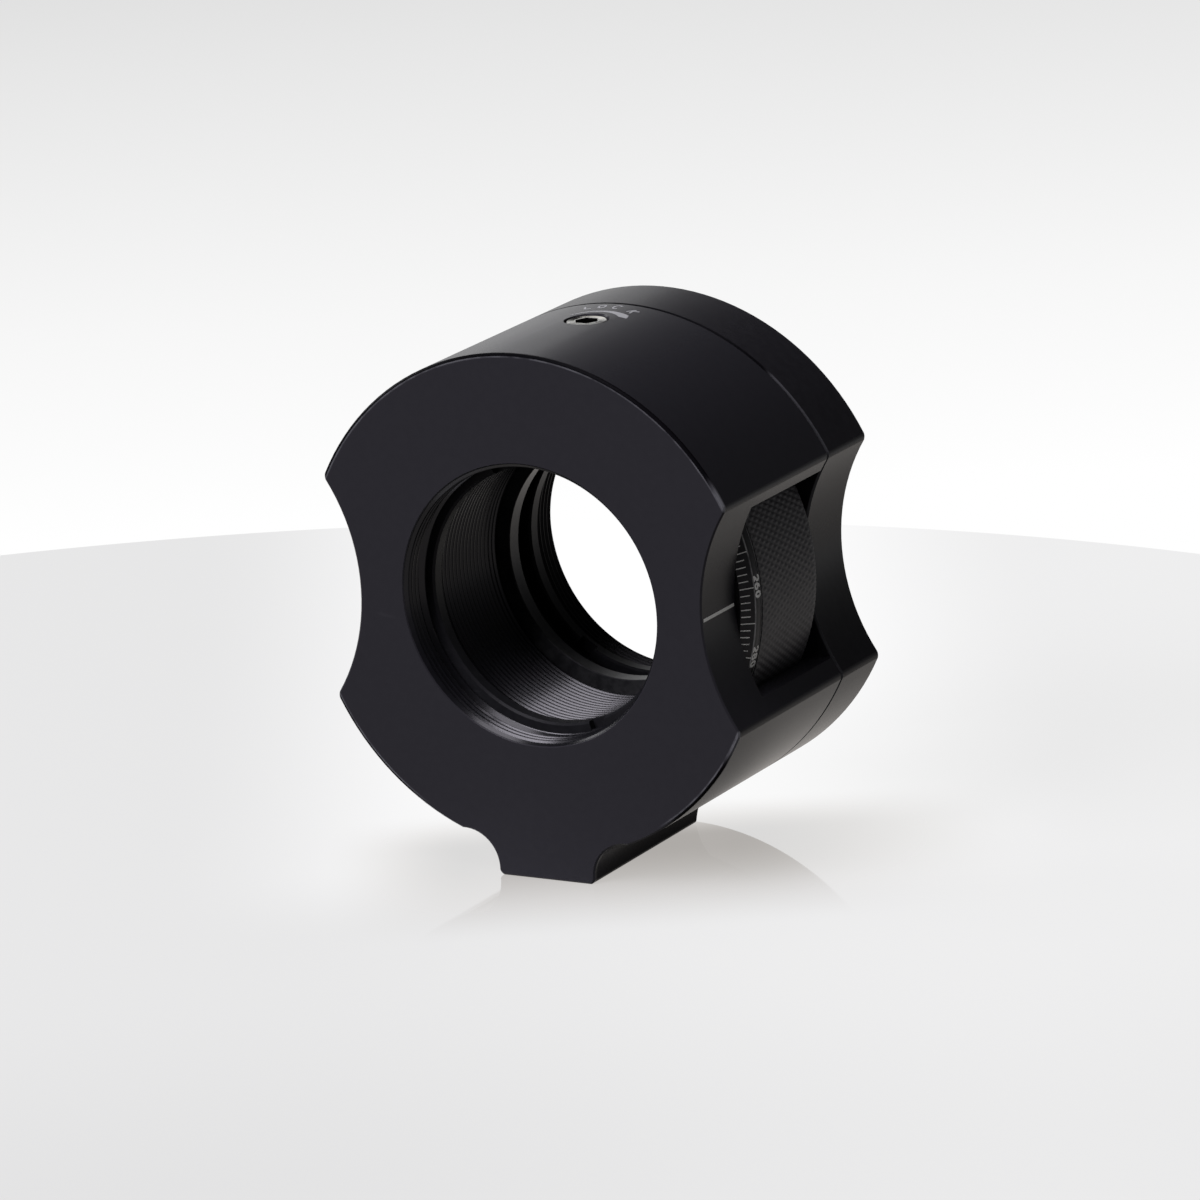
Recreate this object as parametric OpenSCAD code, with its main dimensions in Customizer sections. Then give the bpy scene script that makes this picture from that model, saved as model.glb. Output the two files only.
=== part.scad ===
// Rotating lens mount for a one inch lens tube thread: a barrel with two finger scallops stands on
// a small foot, and a knurled, graduated dial ring turns inside it about the optical axis.
// Frame: +X right, +Y into the barrel from its front face, +Z up. The origin is the mouth of the
// tapped post hole, in the middle of the foot's flat bottom. All sizes are in millimetres.

/* [Barrel] */
// Wall between the dial's chamber and the outside of the barrel
barrel_wall = 3.6; // [3.4:0.05:5]
// Depth of the front housing, from its front face to the seam
housing_l = 19.6; // [18.6:0.1:23]
// Depth of the rear cover, from the seam to its rear face
cover_l = 7.3; // [6.4:0.1:10]
// Thickness of the housing's front wall, from its front face to the dial's chamber
wall_t = 6.2; // [5.8:0.1:6.8]
// Chamfer on the outer edges of the front and rear faces
edge_break = 0.15; // [0.1:0.05:0.5]
// Chamfer on both sides of the seam between housing and cover
seam_break = 0.2; // [0.1:0.05:0.4]

/* [Finger scallops] */
// Radius of the hollow on each side of the barrel
scallop_r = 18.25; // [16:0.25:21]
// How far each hollow bites into the barrel at its deepest
scallop_bite = 5.6; // [5.2:0.1:6]
// Height of the hollows' centre line above the optical axis
scallop_lift = 0.3; // [0:0.1:0.8]
// Rounding of the horns where a hollow meets the barrel
horn_r = 1; // [0.8:0.1:1.6]
// Height of the window that each hollow opens on the dial
window_h = 17.6; // [15:0.1:18.4]

/* [Foot] */
// Height of the foot's flat bottom below the barrel
foot_h = 2.45; // [2.3:0.05:4]
// Width of the foot's flat bottom, with its rounded corners
foot_w = 10; // [9:0.1:12]
// Radius of the hollow corner between foot and barrel
foot_fillet_r = 3.5; // [3:0.1:3.8]
// How far the hollow corner cuts into the barrel
foot_fillet_bite = 0.06; // [0.02:0.02:0.2]
// Rounding of the foot's long bottom edges
foot_edge_r = 0.65; // [0.4:0.05:0.8]
// Rounding of the foot's rear edges
foot_rear_r = 0.9; // [0.5:0.05:1.2]
// Bore of the tapped post hole, tap drill size of an M4 thread
post_hole_d = 3.3; // [2.5:0.05:4.2]
// Full depth of the post hole, without its drill point
post_hole_l = 4.4; // [3:0.1:4.8]

/* [Lens tube thread] */
// Major diameter of the internal thread in housing, dial ring and cover
thread_d = 26.29; // [25.9:0.01:26.6]
// Length of the thread in the housing's front wall
front_thread_l = 2.5; // [2:0.1:2.8]
// Length of the run-out groove at the start of the cover's thread, around the rear ring
groove_l = 2; // [1.8:0.1:2.4]
// Depth of the run-out groove below the thread's major diameter
groove_depth = 0.2; // [0.1:0.05:0.4]
// Chamfer at the mouths of the threaded bores
mouth_break = 0.1; // [0.05:0.05:0.3]
// Radial clearance of a retaining ring in its thread
thread_gap = 0.04; // [0.02:0.01:0.08]

/* [Dial ring] */
// Wall between the dial ring's threaded cell and the two journals that it turns on
sleeve_wall = 1.855; // [1.6:0.005:2.1]
// Radial width of the dial's rim, from the journals to the crests of the knurl
rim_w = 4.4; // [4.1:0.1:4.6]
// Height of the knurl's crests above the smooth band that carries the numbers
knurl_step = 0.2; // [0.1:0.05:0.3]
// Width of the smooth number band
band_w = 1.1; // [0.9:0.1:1.8]
// Width and height of the 45 degree bevel that carries the graduation
bevel = 1; // [0.8:0.1:1.4]
// Radial running clearance of the journals in housing and cover
journal_gap = 0.05; // [0.02:0.01:0.08]
// How far the rear journal reaches into the cover, past the seam
rear_journal_l = 1; // [0.9:0.1:1.5]
// Length of the threaded cell, from the dial ring's nose to the lens seat
cell_l = 13.5; // [9:0.1:13.6]
// Radial width of the lens seat, inward from the cell's wall
seat_w = 1.65; // [1:0.05:3]
// Thickness of the lens seat
seat_t = 1.6; // [1:0.1:2]
// Gap between the housing's front wall and the dial's front face
front_gap = 0.2; // [0.1:0.05:0.4]
// Gap between the knurl's rear face and the cover
rear_gap = 0.9; // [0.7:0.05:1]
// Radial room around the knurl in the chamber
chamber_gap = 0.35; // [0.3:0.05:0.45]
// Gap between the dial ring's ends and the bores that it runs into
nose_gap = 0.2; // [0.1:0.05:0.3]

/* [Glide rings and spring] */
// Width of the glide rings and of the wave spring, across their flat face
glide_w = 1.6; // [1.2:0.1:1.7]
// Thickness of the front glide ring
front_glide_t = 1; // [0.6:0.1:1.4]
// Thickness of the rear glide ring
rear_glide_t = 0.5; // [0.3:0.05:0.6]
// Depth of the pocket for spring and rear glide ring in the cover
spring_pocket_l = 0.4; // [0.3:0.05:0.5]
// Thickness of the wave spring's strip
spring_t = 0.15; // [0.1:0.01:0.2]
// Number of waves around the spring
spring_waves = 4; // [3:1:6]
// Axial play between a glide ring and what it bears on
glide_play = 0.02; // [0.01:0.01:0.04]
// Radial room between a journal and the glide rings around it
glide_room = 0.3; // [0.25:0.05:0.5]

/* [Retaining rings] */
// Radial width of both retaining rings
ring_w = 1.1; // [0.9:0.05:1.6]
// Thickness of both retaining rings
ring_t = 1.5; // [1.2:0.1:2]
// Depth of the front retaining ring below the dial ring's nose
front_ring_depth = 0.7; // [0.5:0.1:6]
// Depth of the rear retaining ring behind the start of the cover's thread
rear_ring_depth = 0.3; // [0.1:0.1:0.6]
// Width of the two spanner slots in each retaining ring
slot_w = 1.7; // [1:0.1:2.2]
// Depth of the spanner slots
slot_depth = 0.8; // [0.4:0.1:1]
// Chamfer on the bore edges of the retaining rings and on the ends of the lock screw
fine_break = 0.2; // [0.1:0.05:0.3]

/* [Lock screw] */
// Distance of the lock screw in front of the seam
lock_setback = 6.1; // [4:0.1:8]
// Outer diameter of the lock screw's thread
lock_d = 4; // [3:0.1:5]
// Depth of the lock screw's top below the barrel's surface, with the lock open
lock_recess = 0.15; // [0:0.05:0.5]
// Radial clearance of the lock screw in its hole
lock_gap = 0.04; // [0.02:0.01:0.08]
// Width across flats of the lock screw's hexagon socket
lock_hex = 2; // [1.3:0.1:2]
// Depth of the lock screw's hexagon socket
lock_hex_l = 1.4; // [1:0.1:1.4]
// Diameter of the soft pad in the end of the lock screw
pad_d = 2.4; // [1.6:0.1:2.6]
// Full length of the soft pad
pad_l = 1.2; // [0.9:0.1:1.3]
// How far the pad stands out of the lock screw
pad_out = 0.3; // [0.2:0.05:0.5]
// Radial clearance of the pad in the lock screw
pad_gap = 0.03; // [0.02:0.01:0.06]
// Gap between the pad and the knurl with the lock open
lock_open_gap = 0.25; // [0.15:0.05:0.4]
// Countersink around the lock screw's hole
lock_sink = 0.15; // [0.1:0.05:0.6]

/* [Cover screws] */
// Distance from the dial's chamber to the centres of the cover screws
screw_inset = 1.65; // [1.55:0.05:1.85]
// Thread diameter of the cover screws
screw_d = 2; // [1.6:0.1:2.2]
// Diameter of the countersunk heads
screw_head_d = 3; // [2.6:0.1:3.1]
// How far the cover screws reach into the housing
screw_bite = 3.8; // [3:0.1:6]
// Depth of the heads below the cover's rear face
screw_sink = 0.1; // [0.05:0.05:0.3]
// Radial clearance of the cover screws in their holes
screw_gap = 0.05; // [0.02:0.01:0.1]
// Room past the end of each cover screw in its hole
screw_room = 0.8; // [0.4:0.1:1.2]
// Width across flats of the cover screws' hexagon sockets
screw_hex = 1.3; // [0.9:0.05:1.3]
// Depth of the cover screws' hexagon sockets
screw_hex_l = 0.9; // [0.6:0.1:1.1]
// Angle of the cover screws above and below the level of the axis
screw_angle = 45; // [42:1:55]

/* [Index line] */
// Width of the engraved index line
index_w = 0.25; // [0.15:0.05:0.5]
// Depth of the engraved index line
index_depth = 0.08; // [0.05:0.01:0.2]
// Plain margin at both ends of the index line
index_margin = 0.2; // [0:0.05:0.5]

/* [Hidden] */

// Overlap of a cutting tool past the face that it cuts
cut = 0.2;
// How far a rounding stands proud of the faces that it blends, so that it crosses them
proud = 0.02;
// Facets of round shapes in the preview
$fn = 96;

// Depths along the optical axis, counted from the front face
nose_d = front_thread_l + 2 * nose_gap;
dial_d = wall_t + front_gap;
band_start_d = dial_d + bevel;
knurl_start_d = band_start_d + band_w;
knurl_end_d = housing_l - rear_gap;
seat_start_d = nose_d + cell_l;
seat_end_d = seat_start_d + seat_t;
tail_d = housing_l + rear_journal_l;
cover_thread_d = tail_d + nose_gap;
thread_start_d = cover_thread_d + groove_l;
rear_d = housing_l + cover_l;
lock_at_d = housing_l - lock_setback;

// Radii about the optical axis
thread_r = thread_d / 2;
groove_r = thread_r + groove_depth;
journal_r = thread_r + sleeve_wall;
journal_bore_r = journal_r + journal_gap;
glide_in_r = journal_r + glide_room;
glide_out_r = glide_in_r + glide_w;
glide_pocket_r = glide_out_r + thread_gap;
knurl_r = journal_r + rim_w;
band_r = knurl_r - knurl_step;
bevel_r = band_r - bevel;
chamber_r = knurl_r + chamber_gap;
barrel_r = chamber_r + barrel_wall;
seat_r = thread_r - seat_w;
ring_r = thread_r - thread_gap;
ring_bore_r = ring_r - ring_w;
screw_circle_r = chamber_r + screw_inset;

// Places of the barrel, its scallops and its foot
front_y = -housing_l / 2;
axis_h = barrel_r + foot_h;
scallop_x = barrel_r - scallop_bite + scallop_r;
foot_side = foot_w / 2;
foot_root_x = foot_side + foot_fillet_r;
foot_root_z = axis_h - sqrt(barrel_r * barrel_r - foot_root_x * foot_root_x);
foot_fillet_z = foot_root_z + foot_fillet_bite - foot_fillet_r;

// Lock screw heights, counted from the optical axis
pad_bottom = knurl_r + lock_open_gap;
lock_bottom = pad_bottom + pad_out;
lock_top = barrel_r - lock_recess;

function unit(v) = v / norm(v);
function hex_r(flats) = flats / 2 / cos(30);

// Centre of the rounding that blends a horn: inside the barrel circle by horn_r and outside the
// scallop circle by horn_r, relative to the optical axis. side and up are 1 or -1.
function horn_centre(side, up) =
    let (scallop = [side * scallop_x, scallop_lift],
        reach = norm(scallop),
        along = unit(scallop),
        inner = barrel_r - horn_r + proud,
        outer = scallop_r + horn_r - proud,
        a = (inner * inner + reach * reach - outer * outer) / (2 * reach),
        b = sqrt(inner * inner - a * a))
    a * along + up * side * b * [-along[1], along[0]];

// Places a shape that is drawn about Z, so that it stands on the optical axis. A height in the
// shape becomes a depth behind the front face.
module on_axis(x = 0, z = 0) {
    translate([x, front_y, axis_h + z]) rotate([-90, 0, 0]) children();
}

// A round bar from depth d0 to d1 with chamfers c0 and c1
module bar(r, d0, d1, c0 = 0, c1 = 0) {
    rotate_extrude()
        polygon([[0, d0], [r - c0, d0], [r, d0 + c0], [r, d1 - c1], [r - c1, d1], [0, d1]]);
}

// A cutting tool that leaves a round wall of radius r from d0 to d1 with chamfered ends
module cutter(r, d0, d1, c0 = 0, c1 = 0) {
    rotate_extrude()
        polygon([[0, d0 - cut], [r + c0 + cut, d0 - cut], [r, d0 + c0], [r, d1 - c1],
            [r + c1 + cut, d1 + cut], [0, d1 + cut]]);
}

// A flat ring between two radii, from depth d0 to d1, with chamfer c on the edges of its bore
module washer(in_r, out_r, d0, d1, c = 0) {
    rotate_extrude()
        polygon([[in_r + c, d0], [out_r, d0], [out_r, d1], [in_r + c, d1], [in_r, d1 - c],
            [in_r, d0 + c]]);
}

// A finger that leaves a rounded horn of radius r, with chamfered ends that run on by cut
module horn_finger(r, d0, d1, c0, c1) {
    rotate_extrude()
        polygon([[0, d0 - cut], [r - c0 - cut, d0 - cut], [r, d0 + c0], [r, d1 - c1],
            [r - c1 - cut, d1 + cut], [0, d1 + cut]]);
}

// What is cut from one horn, so that a rounding with chamfered ends is left
module horn_cut(side, up, d0, d1, c0, c1) {
    centre = horn_centre(side, up);
    to_rim = unit(centre);
    to_hollow = unit([side * scallop_x, scallop_lift] - centre);
    reach = 3 * horn_r;
    far = centre + reach * (to_rim + to_hollow);
    corners = [centre, centre + reach * to_rim, far, centre + reach * to_hollow];
    difference() {
        on_axis() translate([0, 0, d0 - cut / 2]) linear_extrude(d1 - d0 + cut)
            polygon([for (p = corners) [p[0], -p[1]]]);
        on_axis(centre[0], centre[1]) horn_finger(horn_r, d0, d1, c0, c1);
    }
}

// The barrel with its two scallops and rounded horns, from depth d0 to d1
module scalloped_barrel(d0, d1, c0, c1) {
    difference() {
        on_axis() bar(barrel_r, d0, d1, c0, c1);
        for (side = [-1, 1]) {
            on_axis(side * scallop_x, scallop_lift) cutter(scallop_r, d0, d1, c0, c1);
            for (up = [-1, 1]) horn_cut(side, up, d0, d1, c0, c1);
        }
    }
}

// What is cut from the foot: the hollow corners, the rounded edges and the front chamfer
module foot_cuts() {
    for (side = [-1, 1]) {
        on_axis(side * (foot_root_x - proud), foot_fillet_z - axis_h)
            cutter(foot_fillet_r, 0, housing_l, edge_break, 0);
        translate([side * (foot_side + foot_fillet_r), 0, foot_fillet_z / 2 - cut])
            cube([2 * foot_fillet_r, 2 * housing_l, foot_fillet_z + 2 * cut], center = true);
        on_axis(side * foot_root_x, foot_fillet_z - axis_h - foot_rear_r - 4 * proud) rear_flare();
        foot_edge_cut(side);
    }
    translate([0, front_y, 0]) rotate([0, 90, 0]) rotate([0, 0, 45])
        cube([edge_break * sqrt(2), edge_break * sqrt(2), 2 * foot_w], center = true);
    translate([-foot_w, front_y + housing_l - foot_rear_r, 0]) difference() {
        translate([0, 0, -cut]) cube([2 * foot_w, foot_rear_r + cut, foot_rear_r + cut]);
        translate([-cut, proud, foot_rear_r - proud]) rotate([0, 90, 0])
            cylinder(h = 2 * foot_w + 2 * cut, r = foot_rear_r);
    }
}

// A cutting tool whose end opens in a quarter round, for the foot's rear corners
module rear_flare() {
    start = housing_l - foot_rear_r;
    wide = foot_fillet_r + foot_rear_r;
    rotate_extrude() difference() {
        translate([0, start]) square([wide - proud, foot_rear_r + cut]);
        translate([wide - proud, start + proud]) circle(foot_rear_r, $fn = 48);
    }
}

// The square corner outside the rounding of a long bottom edge
module foot_edge_cut(side) {
    inset = foot_side - foot_edge_r;
    difference() {
        translate([side * (inset + foot_edge_r / 2 + cut), 0, foot_edge_r / 2 - cut])
            cube([foot_edge_r + 2 * cut, 2 * housing_l, foot_edge_r + 2 * cut], center = true);
        on_axis(side * (inset + proud), foot_edge_r - proud - axis_h)
            horn_finger(foot_edge_r, 0, housing_l, edge_break, 0);
    }
}

// The four places of the cover screws, seen from the front
module at_cover_screw(i) {
    angle = [screw_angle, 180 - screw_angle, 180 + screw_angle, -screw_angle][i];
    on_axis(screw_circle_r * cos(angle), screw_circle_r * sin(angle)) children();
}

// A countersunk screw, or the hole for one when room and gap are above zero
module countersunk(room = 0, gap = 0) {
    head_r = screw_head_d / 2;
    shank_r = screw_d / 2 + gap;
    top = rear_d - screw_sink;
    tip = housing_l - screw_bite - room;
    lift = gap > 0 ? screw_sink + cut : 0;
    rotate_extrude($fn = 48)
        polygon([[0, tip], [shank_r, tip], [shank_r, top - head_r + shank_r - gap],
            [head_r + gap, top], [head_r + gap, top + lift], [0, top + lift]]);
}

module front_housing() {
    color([0.10, 0.10, 0.11]) difference() {
        union() {
            scalloped_barrel(0, housing_l, edge_break, seam_break);
            translate([-foot_root_x, front_y, 0]) cube([2 * foot_root_x, housing_l, axis_h - chamber_r - 1]);
        }
        foot_cuts();
        on_axis() front_bore();
        dial_windows();
        lock_hole();
        post_hole();
        for (i = [0:3]) at_cover_screw(i) countersunk(screw_room, screw_gap);
        index_line();
    }
}

// The turned inside of the housing: thread, journal bore, glide ring pocket and dial chamber
module front_bore() {
    pocket_d = dial_d - glide_play - front_glide_t;
    rotate_extrude($fn = 180)
        polygon([[0, -cut], [thread_r + mouth_break + cut, -cut], [thread_r, mouth_break],
            [thread_r, front_thread_l], [journal_bore_r, front_thread_l],
            [journal_bore_r, pocket_d], [glide_pocket_r, pocket_d], [glide_pocket_r, wall_t],
            [chamber_r, wall_t], [chamber_r, housing_l + cut], [0, housing_l + cut]]);
}

// The two windows, open to the rear, where the dial's rim stands in the scallops
module dial_windows() {
    for (side = [-1, 1])
        translate([side * barrel_r, front_y + (wall_t + housing_l + cut) / 2, axis_h + scallop_lift])
            cube([barrel_r, housing_l + cut - wall_t, window_h], center = true);
}

module lock_hole() {
    hole_r = lock_d / 2 + lock_gap;
    translate([0, front_y + lock_at_d, axis_h]) {
        translate([0, 0, barrel_r / 2]) cylinder(h = barrel_r, r = hole_r);
        translate([0, 0, barrel_r - lock_sink])
            cylinder(h = lock_sink + cut, r1 = hole_r, r2 = hole_r + lock_sink + cut);
    }
}

module post_hole() {
    point_l = post_hole_d / 2 / tan(59);
    translate([0, 0, -cut]) cylinder(h = cut + post_hole_l, d = post_hole_d, $fn = 48);
    translate([0, 0, post_hole_l]) cylinder(h = point_l, d1 = post_hole_d, d2 = 0, $fn = 48);
}

// The engraved line that the dial is read against, across the front wall in the right scallop
module index_line() {
    floor_x = barrel_r - scallop_bite - index_depth;
    start_d = edge_break + index_margin;
    translate([floor_x, front_y + start_d, axis_h - index_w / 2])
        cube([scallop_bite, wall_t - index_margin - start_d, index_w]);
}

module rear_cover() {
    color([0.10, 0.10, 0.11]) difference() {
        scalloped_barrel(housing_l, rear_d, seam_break, edge_break);
        on_axis() rear_bore();
        for (i = [0:3]) at_cover_screw(i) countersunk(screw_room, screw_gap);
    }
}

// The turned inside of the cover: spring pocket, journal bore and thread
module rear_bore() {
    pocket_d = housing_l + spring_pocket_l;
    rotate_extrude($fn = 180)
        polygon([[0, housing_l - cut], [glide_pocket_r, housing_l - cut], [glide_pocket_r, pocket_d],
            [journal_bore_r, pocket_d], [journal_bore_r, cover_thread_d],
            [groove_r, cover_thread_d], [groove_r, thread_start_d], [thread_r, thread_start_d],
            [thread_r, rear_d - mouth_break], [thread_r + mouth_break + cut, rear_d + cut],
            [0, rear_d + cut]]);
}

// The knurled ring with the graduated bevel, the number band, two journals and the lens cell
module dial_ring() {
    crest = knurl_r - band_r;
    color([0.16, 0.16, 0.17]) on_axis() rotate_extrude($fn = 180)
        polygon([[thread_r + mouth_break, nose_d], [journal_r - mouth_break, nose_d],
            [journal_r, nose_d + mouth_break], [journal_r, dial_d],
            [bevel_r, dial_d], [band_r, band_start_d], [band_r, knurl_start_d],
            [knurl_r, knurl_start_d + crest], [knurl_r, knurl_end_d - crest],
            [band_r, knurl_end_d], [journal_r, knurl_end_d],
            [journal_r, tail_d - mouth_break], [journal_r - mouth_break, tail_d],
            [thread_r + mouth_break, tail_d], [thread_r, tail_d - mouth_break],
            [thread_r, seat_end_d], [seat_r, seat_end_d], [seat_r, seat_start_d],
            [thread_r, seat_start_d], [thread_r, nose_d + mouth_break]]);
}

// A threaded ring with two spanner slots in its front face
module retaining_ring(d0, slot_angle) {
    on_axis() difference() {
        washer(ring_bore_r, ring_r, d0, d0 + ring_t, fine_break);
        translate([0, 0, d0 - cut]) rotate([0, 0, -slot_angle])
            translate([-thread_d, -slot_w / 2, 0]) cube([2 * thread_d, slot_w, slot_depth + cut]);
    }
}

module front_retaining_ring() {
    color([0.12, 0.12, 0.13]) retaining_ring(nose_d + front_ring_depth, 110);
}

module rear_retaining_ring() {
    color([0.12, 0.12, 0.13]) retaining_ring(cover_thread_d + rear_ring_depth, 56);
}

module front_glide_ring() {
    end_d = dial_d - glide_play;
    color([0.92, 0.91, 0.88]) on_axis() washer(glide_in_r, glide_out_r, end_d - front_glide_t, end_d);
}

module rear_glide_ring() {
    start_d = knurl_end_d + glide_play;
    color([0.92, 0.91, 0.88]) on_axis() washer(glide_in_r, glide_out_r, start_d, start_d + rear_glide_t);
}

// A thin strip that runs round the axis in even waves, between the rear glide ring and the cover
module wave_spring() {
    start_d = knurl_end_d + rear_glide_t + 2 * glide_play;
    end_d = housing_l + spring_pocket_l - glide_play;
    swing = (end_d - start_d - spring_t) / 2;
    middle_d = start_d + swing;
    steps = 12 * spring_waves;
    ring = [for (i = [0:steps - 1])
        let (angle = 360 * i / steps, d = middle_d + swing * cos(spring_waves * angle))
        for (edge = [[glide_in_r, 0], [glide_out_r, 0], [glide_out_r, spring_t], [glide_in_r, spring_t]])
            [edge[0] * cos(angle), edge[0] * sin(angle), d + edge[1]]];
    faces = [for (i = [0:steps - 1], k = [0:3])
        let (a = 4 * i, b = 4 * ((i + 1) % steps), next = (k + 1) % 4)
        [a + k, a + next, b + next, b + k]];
    color([0.62, 0.62, 0.64]) on_axis() polyhedron(ring, faces);
}

module lock_screw() {
    r = lock_d / 2;
    socket_r = hex_r(lock_hex);
    bore_l = pad_l - pad_out + pad_gap;
    color([0.72, 0.72, 0.74]) translate([0, front_y + lock_at_d, axis_h]) difference() {
        rotate_extrude($fn = 48)
            polygon([[0, lock_bottom], [r - fine_break, lock_bottom], [r, lock_bottom + fine_break],
                [r, lock_top - fine_break], [r - fine_break, lock_top], [0, lock_top]]);
        translate([0, 0, lock_top - lock_hex_l]) cylinder(h = lock_hex_l + cut, r = socket_r, $fn = 6);
        translate([0, 0, lock_bottom - cut]) cylinder(h = bore_l + cut, r = pad_d / 2 + pad_gap, $fn = 48);
    }
}

module lock_pad() {
    color([0.93, 0.92, 0.86]) translate([0, front_y + lock_at_d, axis_h + pad_bottom])
        cylinder(h = pad_l, d = pad_d, $fn = 48);
}

module cover_screw(i) {
    color([0.20, 0.20, 0.21]) at_cover_screw(i) difference() {
        countersunk();
        translate([0, 0, rear_d - screw_sink - screw_hex_l])
            cylinder(h = screw_hex_l + cut, r = hex_r(screw_hex), $fn = 6);
    }
}

front_housing();
rear_cover();
dial_ring();
front_retaining_ring();
rear_retaining_ring();
front_glide_ring();
rear_glide_ring();
wave_spring();
lock_screw();
lock_pad();
cover_screw(0);  // cover_screw_1
cover_screw(1);  // cover_screw_2
cover_screw(2);  // cover_screw_3
cover_screw(3);  // cover_screw_4
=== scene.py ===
"""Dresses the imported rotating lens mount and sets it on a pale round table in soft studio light.

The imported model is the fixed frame. Its housing, cover, rings and screws stay and get their
finishes here. The dial ring is replaced by worked surfaces with its thread, knurl, graduation and
numbers, and the lens tube threads are laid into the bores as thin helical liners.

Frame, in metres: +X right, +Y into the barrel from its front face, +Z up, with the origin at the
mouth of the post hole. The sizes of the mount's own parts are in millimetres, and depths along the
optical axis count from the front face, as a maker's drawing gives them. The studio is in metres.
"""

from __future__ import annotations

import logging
import math
from dataclasses import dataclass, replace
from enum import Enum

import bmesh
import bpy
import numpy as np
from mathutils import Matrix, Vector

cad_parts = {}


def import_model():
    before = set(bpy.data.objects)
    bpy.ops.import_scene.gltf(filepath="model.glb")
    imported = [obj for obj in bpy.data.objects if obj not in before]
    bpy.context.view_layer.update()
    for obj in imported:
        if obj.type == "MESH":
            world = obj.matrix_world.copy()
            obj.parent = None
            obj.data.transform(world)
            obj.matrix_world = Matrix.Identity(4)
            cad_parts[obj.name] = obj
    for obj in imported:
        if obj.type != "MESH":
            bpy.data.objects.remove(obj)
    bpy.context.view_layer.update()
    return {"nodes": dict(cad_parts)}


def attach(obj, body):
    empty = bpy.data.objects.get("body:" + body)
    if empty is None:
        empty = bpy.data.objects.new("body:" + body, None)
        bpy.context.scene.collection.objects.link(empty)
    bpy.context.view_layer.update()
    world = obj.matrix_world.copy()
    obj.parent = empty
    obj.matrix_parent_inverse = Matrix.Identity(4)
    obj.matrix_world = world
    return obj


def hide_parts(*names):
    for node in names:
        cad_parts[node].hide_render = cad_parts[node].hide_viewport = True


# A colour without and with its alpha, a shader node's socket, and what can feed a number socket
Colour = tuple[float, float, float]
Tone = tuple[float, float, float, float]
Socket = bpy.types.NodeSocket
Value = Socket | float

LOG = logging.getLogger("lens_mount")
MM = 0.001
SHARP_ANGLE = math.radians(32)
WHITE: Tone = (1.0, 1.0, 1.0, 1.0)

# The optical axis and the front face in the row's frame, in millimetres
AXIS_Z = 25.8
FRONT_Y = -9.8

# Height above the foot's roots at which the lines along the barrel's rims have run out, and the
# height over which they fade in above it
RIM_END = 6.0
RIM_FADE = 1.6

# Radius of the barrel, and radius and axis (along X and Z) of the right scallop
BARREL_R = 23.35
SCALLOP_R = 18.25
SCALLOP_AXIS = (36.0, 26.1)

# Place of the lock screw's axis along Y, its top, and the radius within which its socket lies
LOCK_Y = 3.7
SCREW_TOP = 49.0
SOCKET_R = 1.2

# Heights of the foot and the top of engraved paint over the surface that carries it
MARK_FOOT = -0.03
MARK_TOP = 0.012

# Places of a bar's four corners across its line, as shares of its width
BAR_ACROSS = np.array([0.5, -0.5, -0.5, 0.5])

# One turn of a thread's section: each row's share of a pitch, and of the way from root to crest
TURN_SHARE = np.array([0.0, 0.03, 0.22, 0.25, 0.5525, 0.58, 0.67, 0.6975])
TURN_BITE = np.array([0.9, 1.0, 1.0, 0.9, 0.07, 0.0, 0.0, 0.07])


class Slot(Enum):
    """The record's material slots, which each lens thread holds."""

    HOUSING = "housing_anodised"
    COVER = "cover_anodised"
    DIAL = "dial_anodised"


class Body(Enum):
    """The bodies that pieces ride on."""

    HOUSING = "housing"
    DIAL = "dial"


# ---------------------------------------------------------------------------------------------
# Mesh building


def add_object(name: str, data: bpy.types.ID) -> bpy.types.Object:
    """Adds an object to the scene, and shades a mesh smooth with its sharp edges kept crisp.

    Args:
        name: The object's name.
        data: Its mesh, lamp or camera.

    Returns:
        The object.
    """
    if isinstance(data, bpy.types.Mesh):
        data.shade_smooth()
        data.set_sharp_from_angle(angle=SHARP_ANGLE)
    made = bpy.data.objects.new(name, data)
    bpy.context.scene.collection.objects.link(made)
    return made


def mesh_object(name: str, points: np.ndarray, quads: np.ndarray) -> bpy.types.Object:
    """Makes an object at the origin from points and quads.

    Args:
        name: The piece's name.
        points: Corner positions in metres, one row each.
        quads: Four corner numbers per face, counter-clockwise seen from outside.

    Returns:
        The new object, linked to the scene.
    """
    used, compact = np.unique(quads, return_inverse=True)
    points, quads = points[used], compact.reshape(-1, 4)
    mesh = bpy.data.meshes.new(name)
    mesh.vertices.add(len(points))
    mesh.vertices.foreach_set("co", points.astype(np.float32).ravel())
    mesh.loops.add(quads.size)
    mesh.loops.foreach_set("vertex_index", quads.astype(np.int32).ravel())
    mesh.polygons.add(len(quads))
    mesh.polygons.foreach_set("loop_start", np.arange(0, quads.size, 4, dtype=np.int32))
    mesh.polygons.foreach_set("loop_total", np.full(len(quads), 4, dtype=np.int32))
    mesh.update(calc_edges=True)
    mesh.validate()
    return add_object(name, mesh)


def grid_quads(rows: int, columns: int, wrap_rows: bool, wrap_columns: bool) -> np.ndarray:
    """Numbers the quads of a grid whose point (i, j) is number i * columns + j.

    Args:
        rows: Number of rows of points.
        columns: Number of columns of points.
        wrap_rows: Whether the last row joins the first.
        wrap_columns: Whether the last column joins the first.

    Returns:
        Four corner numbers per quad.
    """
    number = np.arange(rows * columns).reshape(rows, columns)
    if wrap_rows:
        number = np.concatenate([number, number[:1]], axis=0)
    if wrap_columns:
        number = np.concatenate([number, number[:, :1]], axis=1)
    corners = [number[:-1, :-1], number[:-1, 1:], number[1:, 1:], number[1:, :-1]]
    return np.stack(corners, axis=-1).reshape(-1, 4)


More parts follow.
